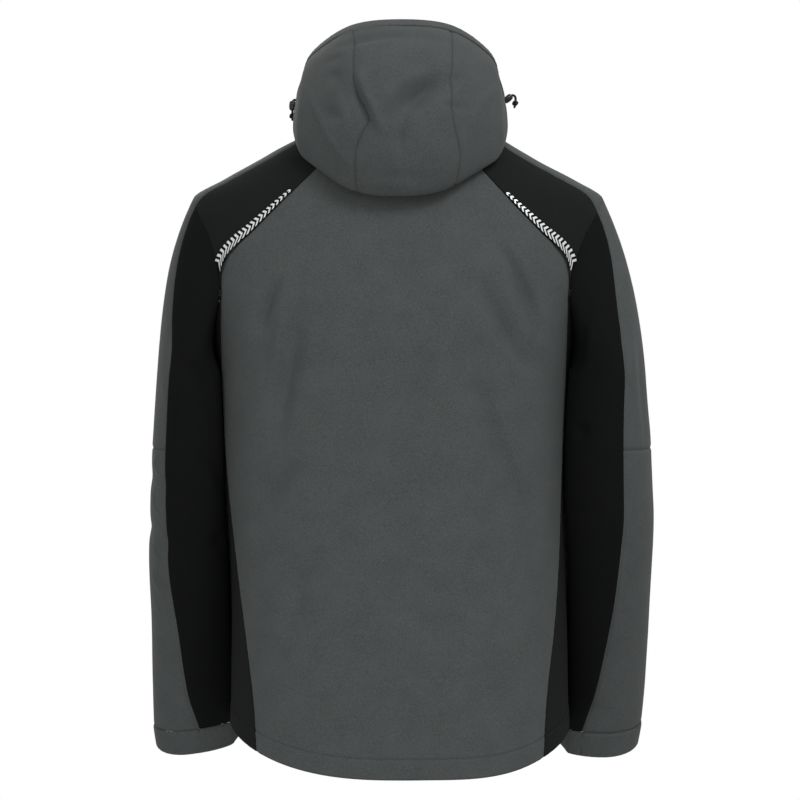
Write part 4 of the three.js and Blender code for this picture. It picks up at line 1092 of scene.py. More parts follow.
def body_patch(near, far, hem=False, top=None, hem_rows=0.35, top_rows=0.25):
    share = np.linspace(0, 1, near.shape[1])

    def patch(s, t):
        ends = [[np.interp(t, share, edge[k]) for k in (0, 1)] for edge in (near, far)]
        u = lerp(ends[0][0], ends[1][0], s)
        z = lerp(ends[0][1], ends[1][1], s)
        if hem:
            foot = lerp(near[0, 0], far[0, 0], s)
            straight = lerp(near[1, 0], far[1, 0], s)
            z = z + np.maximum(0, 1 - t / hem_rows) ** 2 * (hem_z(foot) - straight)
        if top is not None:
            up = np.maximum(0, 1 - (1 - t) / top_rows) ** 2
            crown_u, crown_z = top(s)
            u = u + up * (crown_u - lerp(near[0, -1], far[0, -1], s))
            z = z + up * (crown_z - lerp(near[1, -1], far[1, -1], s))
        return u, z

    return patch


SEAM_FOOT_Z = -736
seam_foot_u = float(angle_of_x(seam_x(SEAM_FOOT_Z), SEAM_FOOT_Z))
seam_foot_z = float(hem_z(seam_foot_u))
underarm_u, underarm_z = (float(v) for v in armhole_at(ARMHOLE_UNDER))
SEAM_TOP_Z = -46
seam_low = places(*back_seam_at(np.linspace(seam_foot_z, join_z, DENSE)))
seam_low[0, 0] = seam_foot_u
seam_high = places(*back_seam_at(np.linspace(join_z, SEAM_TOP_Z, DENSE)))
neck_corner = places(*neck_at(np.array([NECK_BACK])))
seam_to_neck = lerp(seam_high[:, -1:], neck_corner, np.linspace(0, 1, 20))
up_front_seam = np.linspace(0, 1, DENSE)
front_seam_u = lerp(FRONT_SEAM_FOOT, underarm_u, up_front_seam**0.8)
front_seam = places(front_seam_u, lerp(hem_z(front_seam_u), underarm_z, up_front_seam))
armhole_low = places(*armhole_at(np.linspace(ARMHOLE_UNDER, ARMHOLE_JOIN, DENSE)))
armhole_yoke = {
    side: places(*armhole_at(np.linspace(ARMHOLE_JOIN, turn, DENSE))) for side, turn in ARMHOLE_STRIP.items()
}
armhole_front = {
    side: places(*armhole_at(np.linspace(ARMHOLE_UNDER, 360 + turn, 2 * DENSE)))
    for side, turn in ARMHOLE_STRIP.items()
}
neck_side = places(*neck_at(np.linspace(NECK_BACK, NECK_STRIP, 30)))
neck_front = places(*neck_at(np.linspace(ZIP_ANGLE, NECK_STRIP, DENSE)))
centre_z = np.linspace(float(hem_z(ZIP_ANGLE)), neck_foot, 2 * DENSE)
centre_edge = places(-angle_of_x(ZIP_EDGE, centre_z), centre_z)

# %% [markdown]
# The pieces of the body: one back with a dropped hem, a black panel down each side, a black yoke over
# each shoulder blade, and two fronts that run over the shoulder as a narrow grey strip. All seams here
# have a row of topstitching 2 mm from the edge, and the hem is turned up 24 mm and stitched.

# %% Body panels
TOPSTITCH = 2.2
HEM_DEEP = 24
OUT_BACK = np.array([0.0, 1, 0])
OUT_LEFT = np.array([1.0, 0, 0])


def seam(*stitches, pucker=1.0, until=1.03, painted_light=-0.25):
    """A sewn edge. It is rolled under up to the share of its run that until gives. Its last number
    paints shade along the edge below nought, and a highlight above nought.
    """
    return {"kind": "seam", "stitches": stitches, "pucker": pucker, "until": until, "painted_light": painted_light}


# A turned hem. By default a line of painted shade runs along its stitched groove.
def hem(wide, stitches=None, pucker=0.8, painted_light=-0.6):
    return {"kind": "hem", "wide": wide, "stitches": stitches or (wide,), "pucker": pucker, "painted_light": painted_light}


# Painted light on an edge: a highlight where a grey edge rolls beside black cloth, and shade in a seam.
PAINTED_HIGHLIGHT = 0.3
PAINTED_SEAM_SHADE = -0.5
NO_ROLL = -1.0
SIDE_TIP = 0.93  # past this share the side panel's narrow tip lies flat under the sleeve


def flipped(points):
    return points * (-1, 1, 1)


def mirrored_folds(folds):
    return [{**row, "along": [(-x, y, z) for x, y, z in row["along"]]} for row in folds]


def body_sheet(patch, across, along, edges, side="left", creases=(), seed=1.0, outward=OUT_LEFT):
    s, t = np.meshgrid(across, along, indexing="ij")
    if side == "right":
        points = flipped(body.point(*patch(s, t), creases=mirrored_folds(creases)))
        outward = outward * (-1, 1, 1)
    else:
        points = body.point(*patch(s, t), creases=creases)
    return Sheet(points, outward, edges, seed=seed)


def on_back(row):
    """A crease whose places are given as x and z only, taken onto the back."""
    x, z = np.array(row["along"], float).T
    u = angle_of_x(np.abs(x), z)
    return {**row, "along": body_bare(np.where(x < 0, 180 - u, u), z)}


cut = {}
near = resampled(joined(seam_low, seam_high, seam_to_neck), 4 * DENSE)
far = np.stack([180 - near[0], near[1]])
back_patch = body_patch(
    near,
    far,
    hem=True,
    top=lambda s: neck_at(lerp(NECK_BACK, 180 - NECK_BACK, s)),
    hem_rows=0.3,
    top_rows=0.3,
)
# Its side seams carry a painted highlight on the rolled grey edge, and its hem a painted shade.
cut["back_panel"] = body_sheet(
    back_patch,
    stops(400),
    hem_stops(740),
    {"near": seam(TOPSTITCH, painted_light=PAINTED_HIGHLIGHT), "far": seam(TOPSTITCH, painted_light=PAINTED_HIGHLIGHT), "low": hem(HEM_DEEP)},
    creases=[on_back(row) for row in BACK_CREASES],
    outward=OUT_BACK,
)


def share_of_first(first, second):
    """The part of a joined edge that its first stretch takes."""
    lengths = [run_along(body_bare(*edge))[-1] for edge in (first, second)]
    return float(lengths[0] / sum(lengths))


for side in SIDES:
    seed = 3.0 if side == "left" else 5.0
    low_near = resampled(seam_low, 2 * DENSE)
    low_far = resampled(joined(front_seam, armhole_low), 2 * DENSE)
    cut[f"side_panel_{side}"] = body_sheet(
        body_patch(low_near, low_far, hem=True, hem_rows=0.5),
        stops(100),
        hem_stops(540)[:-1],
        {
            "near": seam(until=SIDE_TIP),
            "far": seam(until=share_of_first(front_seam, armhole_low)),
            "low": hem(HEM_DEEP),
        },
        side,
        seed=seed,
    )
    yoke_near = resampled(joined(seam_high, seam_to_neck, neck_side), 2 * DENSE)
    yoke_far = resampled(armhole_yoke[side], 2 * DENSE)
    cut[f"yoke_{side}"] = body_sheet(
        body_patch(yoke_near, yoke_far),
        stops(140),
        stops(260)[1:],
        {"near": seam(pucker=0.3), "far": seam(until=NO_ROLL), "top": seam()},
        side,
        creases=YOKE_CREASES[side],
        seed=seed,
        outward=OUT_BACK + OUT_LEFT * 0.5,
    )
    front_near = joined(resampled(centre_edge, 420), resampled(neck_front, 140))
    front_far = joined(resampled(front_seam, 300), resampled(armhole_front[side], 260))
    cut[f"front_{side}"] = body_sheet(
        body_patch(front_near, front_far, hem=True, hem_rows=0.3),
        stops(250),
        hem_stops(800),
        {
            "near": seam(5),
            "far": seam(TOPSTITCH, until=share_of_first(front_seam, armhole_front[side])),
            "low": hem(HEM_DEEP),
            "top": seam(TOPSTITCH),
        },
        side,
        creases=FRONT_CREASES[side],
        seed=seed + 1,
        outward=OUT_LEFT * 0.3 - OUT_BACK,
    )

# %% Sleeve panels


def sleeve_seam_back(side, row):
    z = FIRST_RING_Z - np.maximum(0, row - 1) * ROW_MM
    return lerp(ARMHOLE_STRIP[side], arms[side]["seam"](z), smoothstep(row, 0, 1))


def sleeve_seam_front(row):
    return lerp(ARMHOLE_UNDER, SLEEVE_SEAM_FRONT, smoothstep(row, 0, 1))


cuff_rows = {}
for side in SIDES:
    last = row_of_z(SLEEVE[side][-1]["z"])
    cuff_rows[side] = (last - CUFF_HEIGHT / ROW_MM, last)


def back_span(side, row):
    return sleeve_seam_back(side, row), sleeve_seam_front(row)


def outer_span(side, row):
    return sleeve_seam_front(row), sleeve_seam_back(side, row) + 360


def cuff_span(side, row):
    start = sleeve_seam_back(side, cuff_rows[side][0])
    return start, start + 360


def sleeve_sheet(side, span, rows, across, along, edges, seed, closed=False):
    s, t = np.meshgrid(across, along, indexing="ij")
    row = lerp(rows[0], rows[1], t)
    turn = lerp(*span(side, row), s)
    points = sleeves[side].point(turn, row, creases=SLEEVE_CREASES[side])
    outward = np.stack([*cos_sin(turn), np.zeros(turn.shape)], axis=-1)
    if side == "right":
        points = flipped(points)
        outward = flipped(outward)
    return Sheet(points, outward, edges, closed=closed, seed=seed)


elbow_row = row_of_z(ELBOW_Z)
plain_ends = {"low": seam(until=NO_ROLL), "top": seam()}
# Painted highlight on the grey edges beside the black, and painted shade in the seams across the sleeve.
beside_black = {"near": seam(1.8, painted_light=PAINTED_HIGHLIGHT), "far": seam(1.8, painted_light=PAINTED_HIGHLIGHT)}
dark_ends = {"low": seam(painted_light=PAINTED_SEAM_SHADE), "top": seam(painted_light=PAINTED_SEAM_SHADE)}
for side in SIDES:
    cuff_top = cuff_rows[side][0]
    seed = 7.0 if side == "left" else 9.5
    cut[f"sleeve_back_{side}"] = sleeve_sheet(
        side, back_span, (0, cuff_top), stops(170), stops(620),
        {"near": seam(), "far": seam(), **plain_ends}, seed,
    )
    cut[f"sleeve_upper_{side}"] = sleeve_sheet(
        side, outer_span, (0, elbow_row), stops(230), stops(290),
        {**beside_black, "low": seam(until=NO_ROLL), "top": seam(TOPSTITCH, painted_light=PAINTED_SEAM_SHADE)}, seed + 0.7,
    )
    cut[f"sleeve_lower_{side}"] = sleeve_sheet(
        side, outer_span, (elbow_row, cuff_top), stops(190), stops(340),
        {**beside_black, **dark_ends}, seed + 1.4,
    )
    cut[f"cuff_{side}"] = sleeve_sheet(
        side, cuff_span, cuff_rows[side], np.linspace(0, 1, 121), stops(25, 3),
        {"low": seam(painted_light=PAINTED_SEAM_SHADE), "top": hem(30, stitches=(4,), pucker=0.5, painted_light=0)}, seed,
        closed=True,
    )


# %% Hood and collar panels
back_of_hood = hood_bare(*np.meshgrid(np.linspace(-3.2, 3.2, 257), np.linspace(2, 6, 161), indexing="ij"))
back_of_hood = back_of_hood.reshape(-1, 3)


def on_hood(row):
    """A crease whose places are given as x and z only, taken onto the back of the hood."""
    flat = back_of_hood[:, (0, 2)]
    nearest = [np.argmin(np.sum((flat - place) ** 2, axis=-1)) for place in row["along"]]
    return {**row, "along": back_of_hood[nearest]}


hood_creases = [on_hood(row) for row in HOOD_CREASES]
hood_seam_left = smooth_column(HOOD_SEAMS, "left", "column")
hood_seam_right = smooth_column(HOOD_SEAMS, "right", "column")
SEAM_TOP = float(band_start(1))


def left_seam(t):
    return hood_seam_left(t * SEAM_TOP)


def right_seam(t):
    return -hood_seam_right(t * SEAM_TOP)


def hood_sheet(first, last, across, along, seed):
    s, t = np.meshgrid(across, along, indexing="ij")
    row = lerp(first(t), last(t), s)
    column = t * band_start(row)
    points = hood.point(row, column, creases=hood_creases)
    # Painted shade along the hood's seams and its top edge.
    sewn = seam(*HOOD_STITCHES, painted_light=PAINTED_SEAM_SHADE)
    edges = {"near": sewn, "far": sewn, "top": seam(painted_light=PAINTED_SEAM_SHADE), "low": seam(pucker=0.4)}
    return Sheet(points, hood.normal(row, column), edges, seed=seed)


HOOD_END = len(HOOD) - 1.0
HOOD_STITCHES = (1.9, 4.6)
HOOD_STEP = 2.8
round_side = stops(270, HOOD_STEP)
up_side = stops(250, HOOD_STEP)
cut["hood_centre"] = hood_sheet(right_seam, left_seam, stops(125, HOOD_STEP), stops(270, HOOD_STEP), 2.0)
cut["hood_side_left"] = hood_sheet(left_seam, lambda t: HOOD_END + 0 * t, round_side, up_side, 4.0)
cut["hood_side_right"] = hood_sheet(lambda t: -HOOD_END + 0 * t, right_seam, round_side, up_side, 6.0)

collar_open = 90 - math.degrees(math.asin(ZIP_EDGE / COLLAR_SIDE))
s, t = np.meshgrid(lerp(-collar_open, 180 + collar_open, stops(500)), stops(75, 4), indexing="ij")
cut["collar"] = Sheet(
    collar.point(s, t),
    collar.normal(s, t),
    {"near": seam(5), "far": seam(5), "low": seam(), "top": hem(90, stitches=(6,), painted_light=0)},
    seed=8.0,
)

# %% Sheets on the frame
# The side panels and yokes take the lighter copy of the black cloth, which is painted light.
CLOTHS = {
    "side_panel": (lit_black_cloth, "black_softshell"),
    "yoke": (lit_black_cloth, "black_softshell"),
    "sleeve_back": (black_cloth, "black_softshell"),
}
for name, sheet in cut.items():
    kind = next((kind for kind in CLOTHS if name.startswith(kind)), None)
    outer, slot = CLOTHS.get(kind, (grey_cloth, "grey_softshell"))
    sheet_object(f"{name}_cloth", sheet, [outer, fleece])
    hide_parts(name)


# %% [markdown]
# The turned edge of the hood is cloth folded over a cord, so it is round at the rim and stands a
# little proud of the panels. Its grid runs once round the section and closes on itself.

# %% Hood edge
BAND_THICK = 4.2
BAND_PROUD = 0.6
BAND_LINES = 11


def band_section():
    """Places round the section: how far towards the rim from 0 to 1, and how far in from the face."""
    half = BAND_THICK / 2
    flat = 1 - half / BAND_WIDTH
    around = np.linspace(-90, 90, 9)
    c, s = cos_sin(around)
    rim = list(zip(flat + c * half / BAND_WIDTH, half + s * half))
    outside = [(x, 0.0) for x in np.linspace(0, flat, BAND_LINES)[:-1]]
    inside = [(x, BAND_THICK) for x in np.linspace(flat, 0, BAND_LINES)[1:]]
    return np.array([*outside, *rim, *inside, outside[0]])


section = band_section()
rows = np.linspace(-6, 6, 241)
row, k = np.meshgrid(rows, np.arange(len(section)), indexing="ij")
toward_rim, inward = section[k, 0], section[k, 1]
column = lerp(band_start(row), float(RIM), toward_rim)
column_in_net = np.minimum(column, RIM)
face_normal = hood.normal(row, column_in_net)
on_face = hood.point(row, column_in_net)
in_or_out = np.where(inward < BAND_THICK / 2, 1, -1)
bulge = BAND_PROUD + 0.5 * np.sin(np.pi * np.clip(toward_rim, 0, 1)) * in_or_out
bulge = bulge + 0.3 * wander(np.linspace(0, 700, len(rows)), 3.0)[:, None] * np.where(inward == 0, 1, 0)
band_points = on_face + face_normal * (bulge - inward)[..., None]
band_bm, _ = laid_grid(hung(band_points), closed=True)
hood_band = new_piece("hood_edge_cloth", band_bm, [grey_cloth])
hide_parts("hood_edge")
print("hood edge", len(hood_band.data.polygons), "faces")

# %% [markdown]
# Thread is thin, but a row of stitches is what the eye looks for on a seam. One stitch is a little
# stretched ball with few faces, and a row is that mesh repeated along the line that runs beside the
# edge, each turned to the line and pressed into its groove. Thousands of stitches become a few joined
# meshes, which is far lighter than thousands of objects.

# %% Rows of stitching
STITCH = {"long": 2.5, "wide": 0.62, "high": 0.5, "pitch": 3.2}
STITCH_ENDS = 2.5


def thread_material(name, dark, light):
    """Twisted thread: a fine mottle of two tones."""
    material, tree, shader = plain_material(name, light, 0.6, 0.3)
    set_inputs(shader, {"Base Color": mix_colours(tree, object_noise(tree, 2600, 2), dark, light)})
    return material


grey_thread = thread_material("grey thread", (0.030, 0.034, 0.033), (0.078, 0.085, 0.083))
black_thread = thread_material("black thread", (0.004, 0.004, 0.004), (0.016, 0.017, 0.017))


def template_of(bm):
    bm.verts.index_update()
    verts = np.array([vertex.co[:] for vertex in bm.verts])
    faces = [[vertex.index for vertex in face.verts] for face in bm.faces]
    bm.free()
    return verts, faces


def stitch_template():
    bm = bmesh.new()
    bmesh.ops.create_uvsphere(bm, u_segments=6, v_segments=4, radius=0.5)
    bmesh.ops.rotate(bm, verts=bm.verts, cent=(0, 0, 0), matrix=Euler((0, math.radians(90), 0)).to_matrix())
    bmesh.ops.scale(bm, verts=bm.verts, vec=(STITCH["long"], STITCH["wide"], STITCH["high"]))
    return template_of(bm)


def repeated(name, template, centres, axes, materials, smooth=True):
    """One mesh with a copy of the template at each centre. axes holds each copy's x, y and z ways."""
    verts, faces = template
    placed = np.einsum("vk,nkc->nvc", verts, axes) + centres[:, None, :]
    base = np.arange(len(centres)) * len(verts)
    copies = []
    for face in faces:
        copies.extend((np.array(face) + base[:, None]).tolist())
    mesh = bpy.data.meshes.new(name)
    mesh.from_pydata((placed.reshape(-1, 3) * MM).tolist(), [], copies)
    mesh.polygons.foreach_set("use_smooth", [smooth] * len(mesh.polygons))
    piece = new_piece(name, mesh, materials)
    print(f"{name}: {len(centres)} copies, {len(mesh.polygons)} faces")
    return piece


def evenly(points, normals):
    """Centres of stitches along a line, with axes along it, across it and out of the cloth."""
    run = run_along(points)
    at = np.arange(STITCH_ENDS + STITCH["pitch"] / 2, run[-1] - STITCH_ENDS, STITCH["pitch"])
    centres = picked(at, run, points)
    along = unit(picked(at + 0.5, run, points) - centres)
    out = unit(picked(at, run, normals))
    return centres, np.stack([along, np.cross(out, along), out], axis=1)


def stitch_group(name):
    for part in ("hood", "collar", "sleeve", "cuff"):
        if name.startswith(part):
            return {"collar": "hood", "cuff": "sleeve"}.get(part, part)
    return "body"


stitch = stitch_template()
stitch_rows = {}
for name, sheet in cut.items():
    tone = "black" if name.startswith(tuple(CLOTHS)) else "grey"
    for edge, finish in sheet.edges.items():
        for inset in finish["stitches"]:
            row = evenly(*sheet.line_inside(edge, inset))
            stitch_rows.setdefault((stitch_group(name), tone), []).append(row)
for (group, tone), rows_of_it in stitch_rows.items():
    centres = np.concatenate([row[0] for row in rows_of_it])
    axes = np.concatenate([row[1] for row in rows_of_it])
    thread = grey_thread if tone == "grey" else black_thread
    repeated(f"stitches_{group}_{tone}", stitch, centres, axes, [thread])

# %% [markdown]
# Along the seam of each yoke lies a narrow black strip with a row of pale chevrons that point to the
# neck. They are printed on the real one in a film of glass beads, which is thick enough to feel. Each
# chevron is a small grid bent into a V in the strip's own measure, then laid on the strip. Each strip
# runs 5 mm further down its seam than its solid does, which brings its foot nearer to the photo.

# %% Reflective strips
STRIP = {"from": -81, "to_seam": -176, "to_arm": -167, "off_seam": 0.8, "top": 4, "foot": 12, "thick": 0.5}
STRIP_OFF_CLOTH = 0.3
CHEVRONS = 20
CHEVRON_BAR = 0.48
CHEVRON_THICK = 0.2
CHEVRON_SPREAD = 0.92


def strip_width(t):
    return lerp(STRIP["top"], STRIP["foot"], np.minimum(1, t * 1.6))


def strip_place(s, t):
    """Where on the body a strip's share across and share down lie."""
    z = lerp(STRIP["from"], lerp(STRIP["to_seam"], STRIP["to_arm"], s), t)
    u = back_seam_at(z)[0]
    seam_point = body_bare(u, z)
    below = body_bare(back_seam_at(z - 1)[0], z - 1)
    away = unit(np.cross(below - seam_point, body.normal(u, z)))
    away = away * np.where(away[..., 2:] < 0, -1, 1)
    p = seam_point + away * (STRIP["off_seam"] + strip_width(t) * s)[..., None]
    return angle_of_x(np.abs(p[..., 0]), p[..., 2]), p[..., 2]


def on_yoke(side, s, t, above):
    """Points this far above the yoke's cloth, and the ways out of it."""
    u, z = strip_place(s, t)
    creases = YOKE_CREASES[side]
    if side == "right":
        creases = mirrored_folds(creases)
    normals = body.normal(u, z)
    points = body.point(u, z, creases=creases) + normals * above
    if side == "right":
        return flipped(points), flipped(normals)
    return points, normals


def reflective_material():
    material, tree, shader = plain_material("reflective print", (0.62, 0.63, 0.63), 0.42, 0.6, 0.15)
    beads = object_noise(tree, 2200, 0, "ShaderNodeTexVoronoi")
    colour = mix_colours(tree, beads, (0.80, 0.81, 0.81), (0.42, 0.43, 0.44))
    set_inputs(shader, {"Base Color": colour, "Normal": bump_of(tree, beads, 0.4, 0.05)})
    return material


reflective = reflective_material()
down_strip = np.linspace(0, 1, 200)
strip_face = STRIP_OFF_CLOTH + STRIP["thick"]
for side in SIDES:
    s, t = np.meshgrid(np.linspace(0, 1, 7), np.linspace(0, 1, 91), indexing="ij")
    points, outward = on_yoke(side, s, t, strip_face)
    strip_sheet = Sheet(points, outward, {})
    strip_name = f"reflective_strip_{side}"
    strip = sheet_object(strip_name, strip_sheet, [black_cloth], STRIP["thick"])
    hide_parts(f"reflective_tape_{side}")

    middle = on_yoke(side, np.full(200, 0.5), down_strip, 0)[0]
    run = run_along(middle)
    pitch = (run[-1] - STRIP["foot"] / 2) / (CHEVRONS - 0.3)
    bm = bmesh.new()
    for k in range(CHEVRONS):
        apex = pitch * (k + 0.15)
        half = strip_width(np.interp(apex, run, down_strip)) / 2 * CHEVRON_SPREAD
        made = bmesh.ops.create_grid(bm, x_segments=8, y_segments=1, size=0.5)["verts"]
        across = np.array([vertex.co.x * 2 * half for vertex in made])
        down_bar = np.array([vertex.co.y + 0.5 for vertex in made])
        along = apex + np.abs(across) + pitch * CHEVRON_BAR * down_bar
        t = np.interp(along, run, down_strip)
        points, outward = on_yoke(side, 0.5 + across / strip_width(t), t, strip_face + 0.02)
        points = hung(points + outward * uneven(points)[:, None])
        for vertex, point in zip(made, points):
            vertex.co = Vector(point * MM)
    bm.normal_update()
    if sum(face.normal.y for face in bm.faces) < 0:
        bmesh.ops.reverse_faces(bm, faces=bm.faces)
    chevrons = new_piece(f"chevrons_{side}", bm, [reflective])
    film = chevrons.modifiers.new("film", "SOLIDIFY")
    film.thickness = CHEVRON_THICK * MM
    film.offset = 1
    print(f"strip {side}: {run[-1]:.0f} mm long, {CHEVRONS} chevrons {pitch:.1f} mm apart")

# %% [markdown]
# Each end of the hood's cord comes out of an eyelet in the turned edge, passes a barrel stopper and
# ends in a knot. A tube is swept along a smooth path by hand, because a braid's diamonds are raised in
# it ring by ring. The round parts are spun from half a profile, as if on a lathe, then turned so that
# their axis follows the cord.

# %% Cord ends
CORD_ROW = 4.42
CORD_DIAMETER = 3
CORD_SIDES = 24
CORD_STEP = 0.6
CORD_EASING = 24  # passes that ease the bends, because a cord can't be kinked
BRAID = {"deep": 0.11, "long": 5.0, "strands": 4}
CORDS = {
    "left": {
        "route": [(124.4, -35.2, 35.5), (127.4, -36, 40), (130.6, -36.4, 38.8), (131, -36.5, 32.5),
                  (131, -36.5, 26.8), (131, -36.5, 20), (130.9, -36.5, 14)],
        "stopper": 5,
        "knot": 7,
    },
    "right": {
        "route": [(-125, -35.2, 35.6), (-130.5, -36, 41), (-135, -36.7, 45.3), (-138.6, -37, 45),
                  (-140, -37, 41), (-139.4, -37, 35.5), (-138.4, -37, 29.5)],
        "stopper": 3,
        "knot": 7,
    },
}
STOPPER = {"long": 11, "wide": 8.4, "bore": 4.2, "groove": 0.35, "taper": 0.32}
KNOT = {"long": 6, "wide": 8, "strand": 2.7}
EYELET = {"wide": 9, "hole": 5.2, "thick": 0.8, "low": 0.45}
LATHE_STEPS = 40

cord_finish = thread_material("braided cord", (0.003, 0.003, 0.003), (0.011, 0.011, 0.011))
plastic = plain_material("black plastic", (0.006, 0.006, 0.0065), 0.38)[0]
eyelet_metal = plain_material("blackened metal", (0.03, 0.03, 0.032), 0.3, metallic=0.9)[0]


def path_through(points, spacing):
    """Points at an even spacing on the smooth curve through the given ones, and the curve's ways."""
    points = np.asarray(points, float)
    padded = np.concatenate((2 * points[:1] - points[1:2], points, 2 * points[-1:] - points[-2:-1]))
    t = np.linspace(0, len(points) - 1, 40 * len(points))
    i = np.minimum(t.astype(int), len(points) - 2)
    dense = through_four(*(padded[i + k] for k in range(4)), (t - i)[:, None])
    run = run_along(dense)
    at = np.linspace(0, run[-1], round(run[-1] / spacing) + 1)
    path = picked(at, run, dense)
    for _ in range(CORD_EASING):
        path[1:-1] = (path[:-2] + 2 * path[1:-1] + path[2:]) / 4
    return path, unit(np.gradient(path, axis=0)), float(run[-1])


def carried_frames(tangents):
    """Two ways across a path at each point that never twist suddenly."""
    first = unit(np.cross(tangents[0], (0.3, 0.2, 1)))
    ways = [first]
    for tangent in tangents[1:]:
        first = unit(first - tangent * np.dot(first, tangent))
        ways.append(first)
    ways = np.array(ways)
    return ways, np.cross(tangents, ways)


def tube_points(path, ways, other_ways, radius):
    """A grid of points round a path. radius is a number for each place and side."""
    turn = np.linspace(0, 2 * np.pi, radius.shape[1])
    return (
        path[:, None]
        + ways[:, None] * (radius * np.cos(turn))[..., None]
        + other_ways[:, None] * (radius * np.sin(turn))[..., None]
    )


def turned_to(axis):
    return Vector((0, 0, 1)).rotation_difference(Vector(axis)).to_matrix().to_4x4()


def lathe_piece(name, profile, place, axis, material, replaced):
    """A profile of (radius, height) pairs in mm, spun round its axis and closed on itself."""
    bm = bmesh.new()
    verts = [bm.verts.new((radius * MM, 0, height * MM)) for radius, height in profile]
    edges = [bm.edges.new(pair) for pair in zip(verts, [*verts[1:], verts[0]])]
    bmesh.ops.spin(
        bm, geom=[*verts, *edges], cent=(0, 0, 0), axis=(0, 0, 1), angle=2 * math.pi, steps=LATHE_STEPS,
        use_merge=True,
    )
    bmesh.ops.remove_doubles(bm, verts=bm.verts, dist=0.005 * MM)
    bmesh.ops.recalc_face_normals(bm, faces=bm.faces)
    bmesh.ops.transform(bm, matrix=turned_to(axis), verts=bm.verts)
    bmesh.ops.translate(bm, vec=Vector(place) * MM, verts=bm.verts)
    for face in bm.faces:
        face.smooth = True
    piece = new_piece(name, bm, [material])
    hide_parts(replaced)
    return piece


def barrel_profile(size, square):
    heights = np.linspace(-1, 1, 25)
    outside = []
    for t in heights:
        radius = size["wide"] / 2 * (1 - abs(t) ** square * size["taper"])
        groove = size["groove"] * math.exp(-(((abs(t) - 0.5) / 0.07) ** 2))
        outside.append((radius - groove, t * size["long"] / 2))
    bore = size["bore"] / 2
    return [(bore, -size["long"] / 2), *outside, (bore, size["long"] / 2)]


def eyelet_profile():
    middle = (EYELET["wide"] + EYELET["hole"]) / 4
    half = (EYELET["wide"] - EYELET["hole"]) / 4
    c, s = cos_sin(np.linspace(0, 180, 11))
    return list(zip(middle - half * c, EYELET["low"] + EYELET["thick"] * s))


def knot_points(centre, axis):
    """An overhand knot pulled tight: a tube round a trefoil."""
    t = np.linspace(0, 2 * np.pi, 97)
    strand = KNOT["strand"] / 2
    reach = (KNOT["wide"] / 2 - strand) / 3
    rise = KNOT["long"] / 2 - strand
    x = (np.sin(t) + 2 * np.sin(2 * t)) * reach
    y = (np.cos(t) - 2 * np.cos(2 * t)) * reach
    flat = np.stack([x, y, -np.sin(3 * t) * rise], axis=-1)
    ahead = np.roll(flat[:-1], -1, axis=0) - np.roll(flat[:-1], 1, axis=0)
    tangents = unit(np.concatenate((ahead, ahead[:1])))
    ways = unit(np.cross(tangents, (0, 0, 1)))
    around = tube_points(flat, ways, np.cross(tangents, ways), np.full((len(t), 15), strand))
    turn = np.array(turned_to(axis).to_3x3())
    return around @ turn.T + centre


for side in SIDES:
    row = np.array(CORD_ROW if side == "left" else -CORD_ROW)
    column = (band_start(row) + RIM) / 2
    out_of_edge = hood.normal(row, column)
    on_edge = hood.point(row, column) + out_of_edge * 0.6
    route = hung(np.array([on_edge + out_of_edge * 0.5, on_edge + out_of_edge * 3.5, *CORDS[side]["route"]]))
    path, tangents, length = path_through(route, CORD_STEP)
    along = np.linspace(0, length, len(path))[:, None]
    turn = np.linspace(0, 2 * np.pi, CORD_SIDES + 1)[None]
    slope = 2 * np.pi * along / BRAID["long"]
    diamonds = np.cos(BRAID["strands"] * turn + slope) * np.cos(BRAID["strands"] * turn - slope)
    close = smoothstep(np.minimum(along, length - along), 0, 1.2)
    radius = (CORD_DIAMETER / 2 - 0.05 + BRAID["deep"] * diamonds) * lerp(0.6, 1, close)
    cord_bm, _ = laid_grid(tube_points(path, *carried_frames(tangents), radius), closed=True)
    cord = new_piece(f"hood_cord_{side}", cord_bm, [cord_finish])
    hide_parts(f"cord_{side}")

    stopper_at, knot_at = CORDS[side]["stopper"], CORDS[side]["knot"]
    ways_at = {
        k: tangents[np.argmin(np.linalg.norm(path - route[k], axis=-1))] for k in (stopper_at, knot_at)
    }
    stopper = lathe_piece(
        f"cord_stopper_{side}", barrel_profile(STOPPER, 4), route[stopper_at], ways_at[stopper_at],
        plastic, f"stopper_{side}",
    )
    knot_bm, _ = laid_grid(knot_points(route[knot_at], ways_at[knot_at]), closed=True)
    knot = new_piece(f"cord_knot_{side}", knot_bm, [cord_finish])
    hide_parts(f"knot_{side}")
    lathe_piece(
        f"cord_eyelet_{side}", eyelet_profile(), hung(on_edge), out_of_edge, eyelet_metal,
        f"eyelet_{side}",
    )
    print(f"cord {side}: {length:.1f} mm long")

# %% [markdown]
# The zip is on the hidden front. Its teeth are moulded on the edges of two tapes and lock like the
# fingers of two hands, so the two rows are half a pitch apart and reach past the middle. The slider and
# its pull keep the form of their solids, with softened edges, and the pull rides on its own body.

# %% Zip
TOOTH = {"pitch": 2.6, "high": 1.15, "reach": 0.9, "thick": 2.3, "head": 0.78}
ZIP_ABOVE_CLOTH = 0.3
ZIP_THICK = 2.6
COLLAR_TOP_Z = neck_foot + COLLAR_HEIGHT["front"]


def zip_point(across, z):
    across, z = same_shape(across, z)
    x = np.abs(across)
    on_front = body_bare(-angle_of_x(x, z), z)
    angle = -np.degrees(np.arccos(x / COLLAR_SIDE))
    height = (z - neck_at(angle)[1] - COLLAR_OFF_NECK) / collar_height(angle)
    points = np.where((z < neck_foot)[..., None], on_front, collar.point(angle, height))
    points[..., 0] = across
    return points


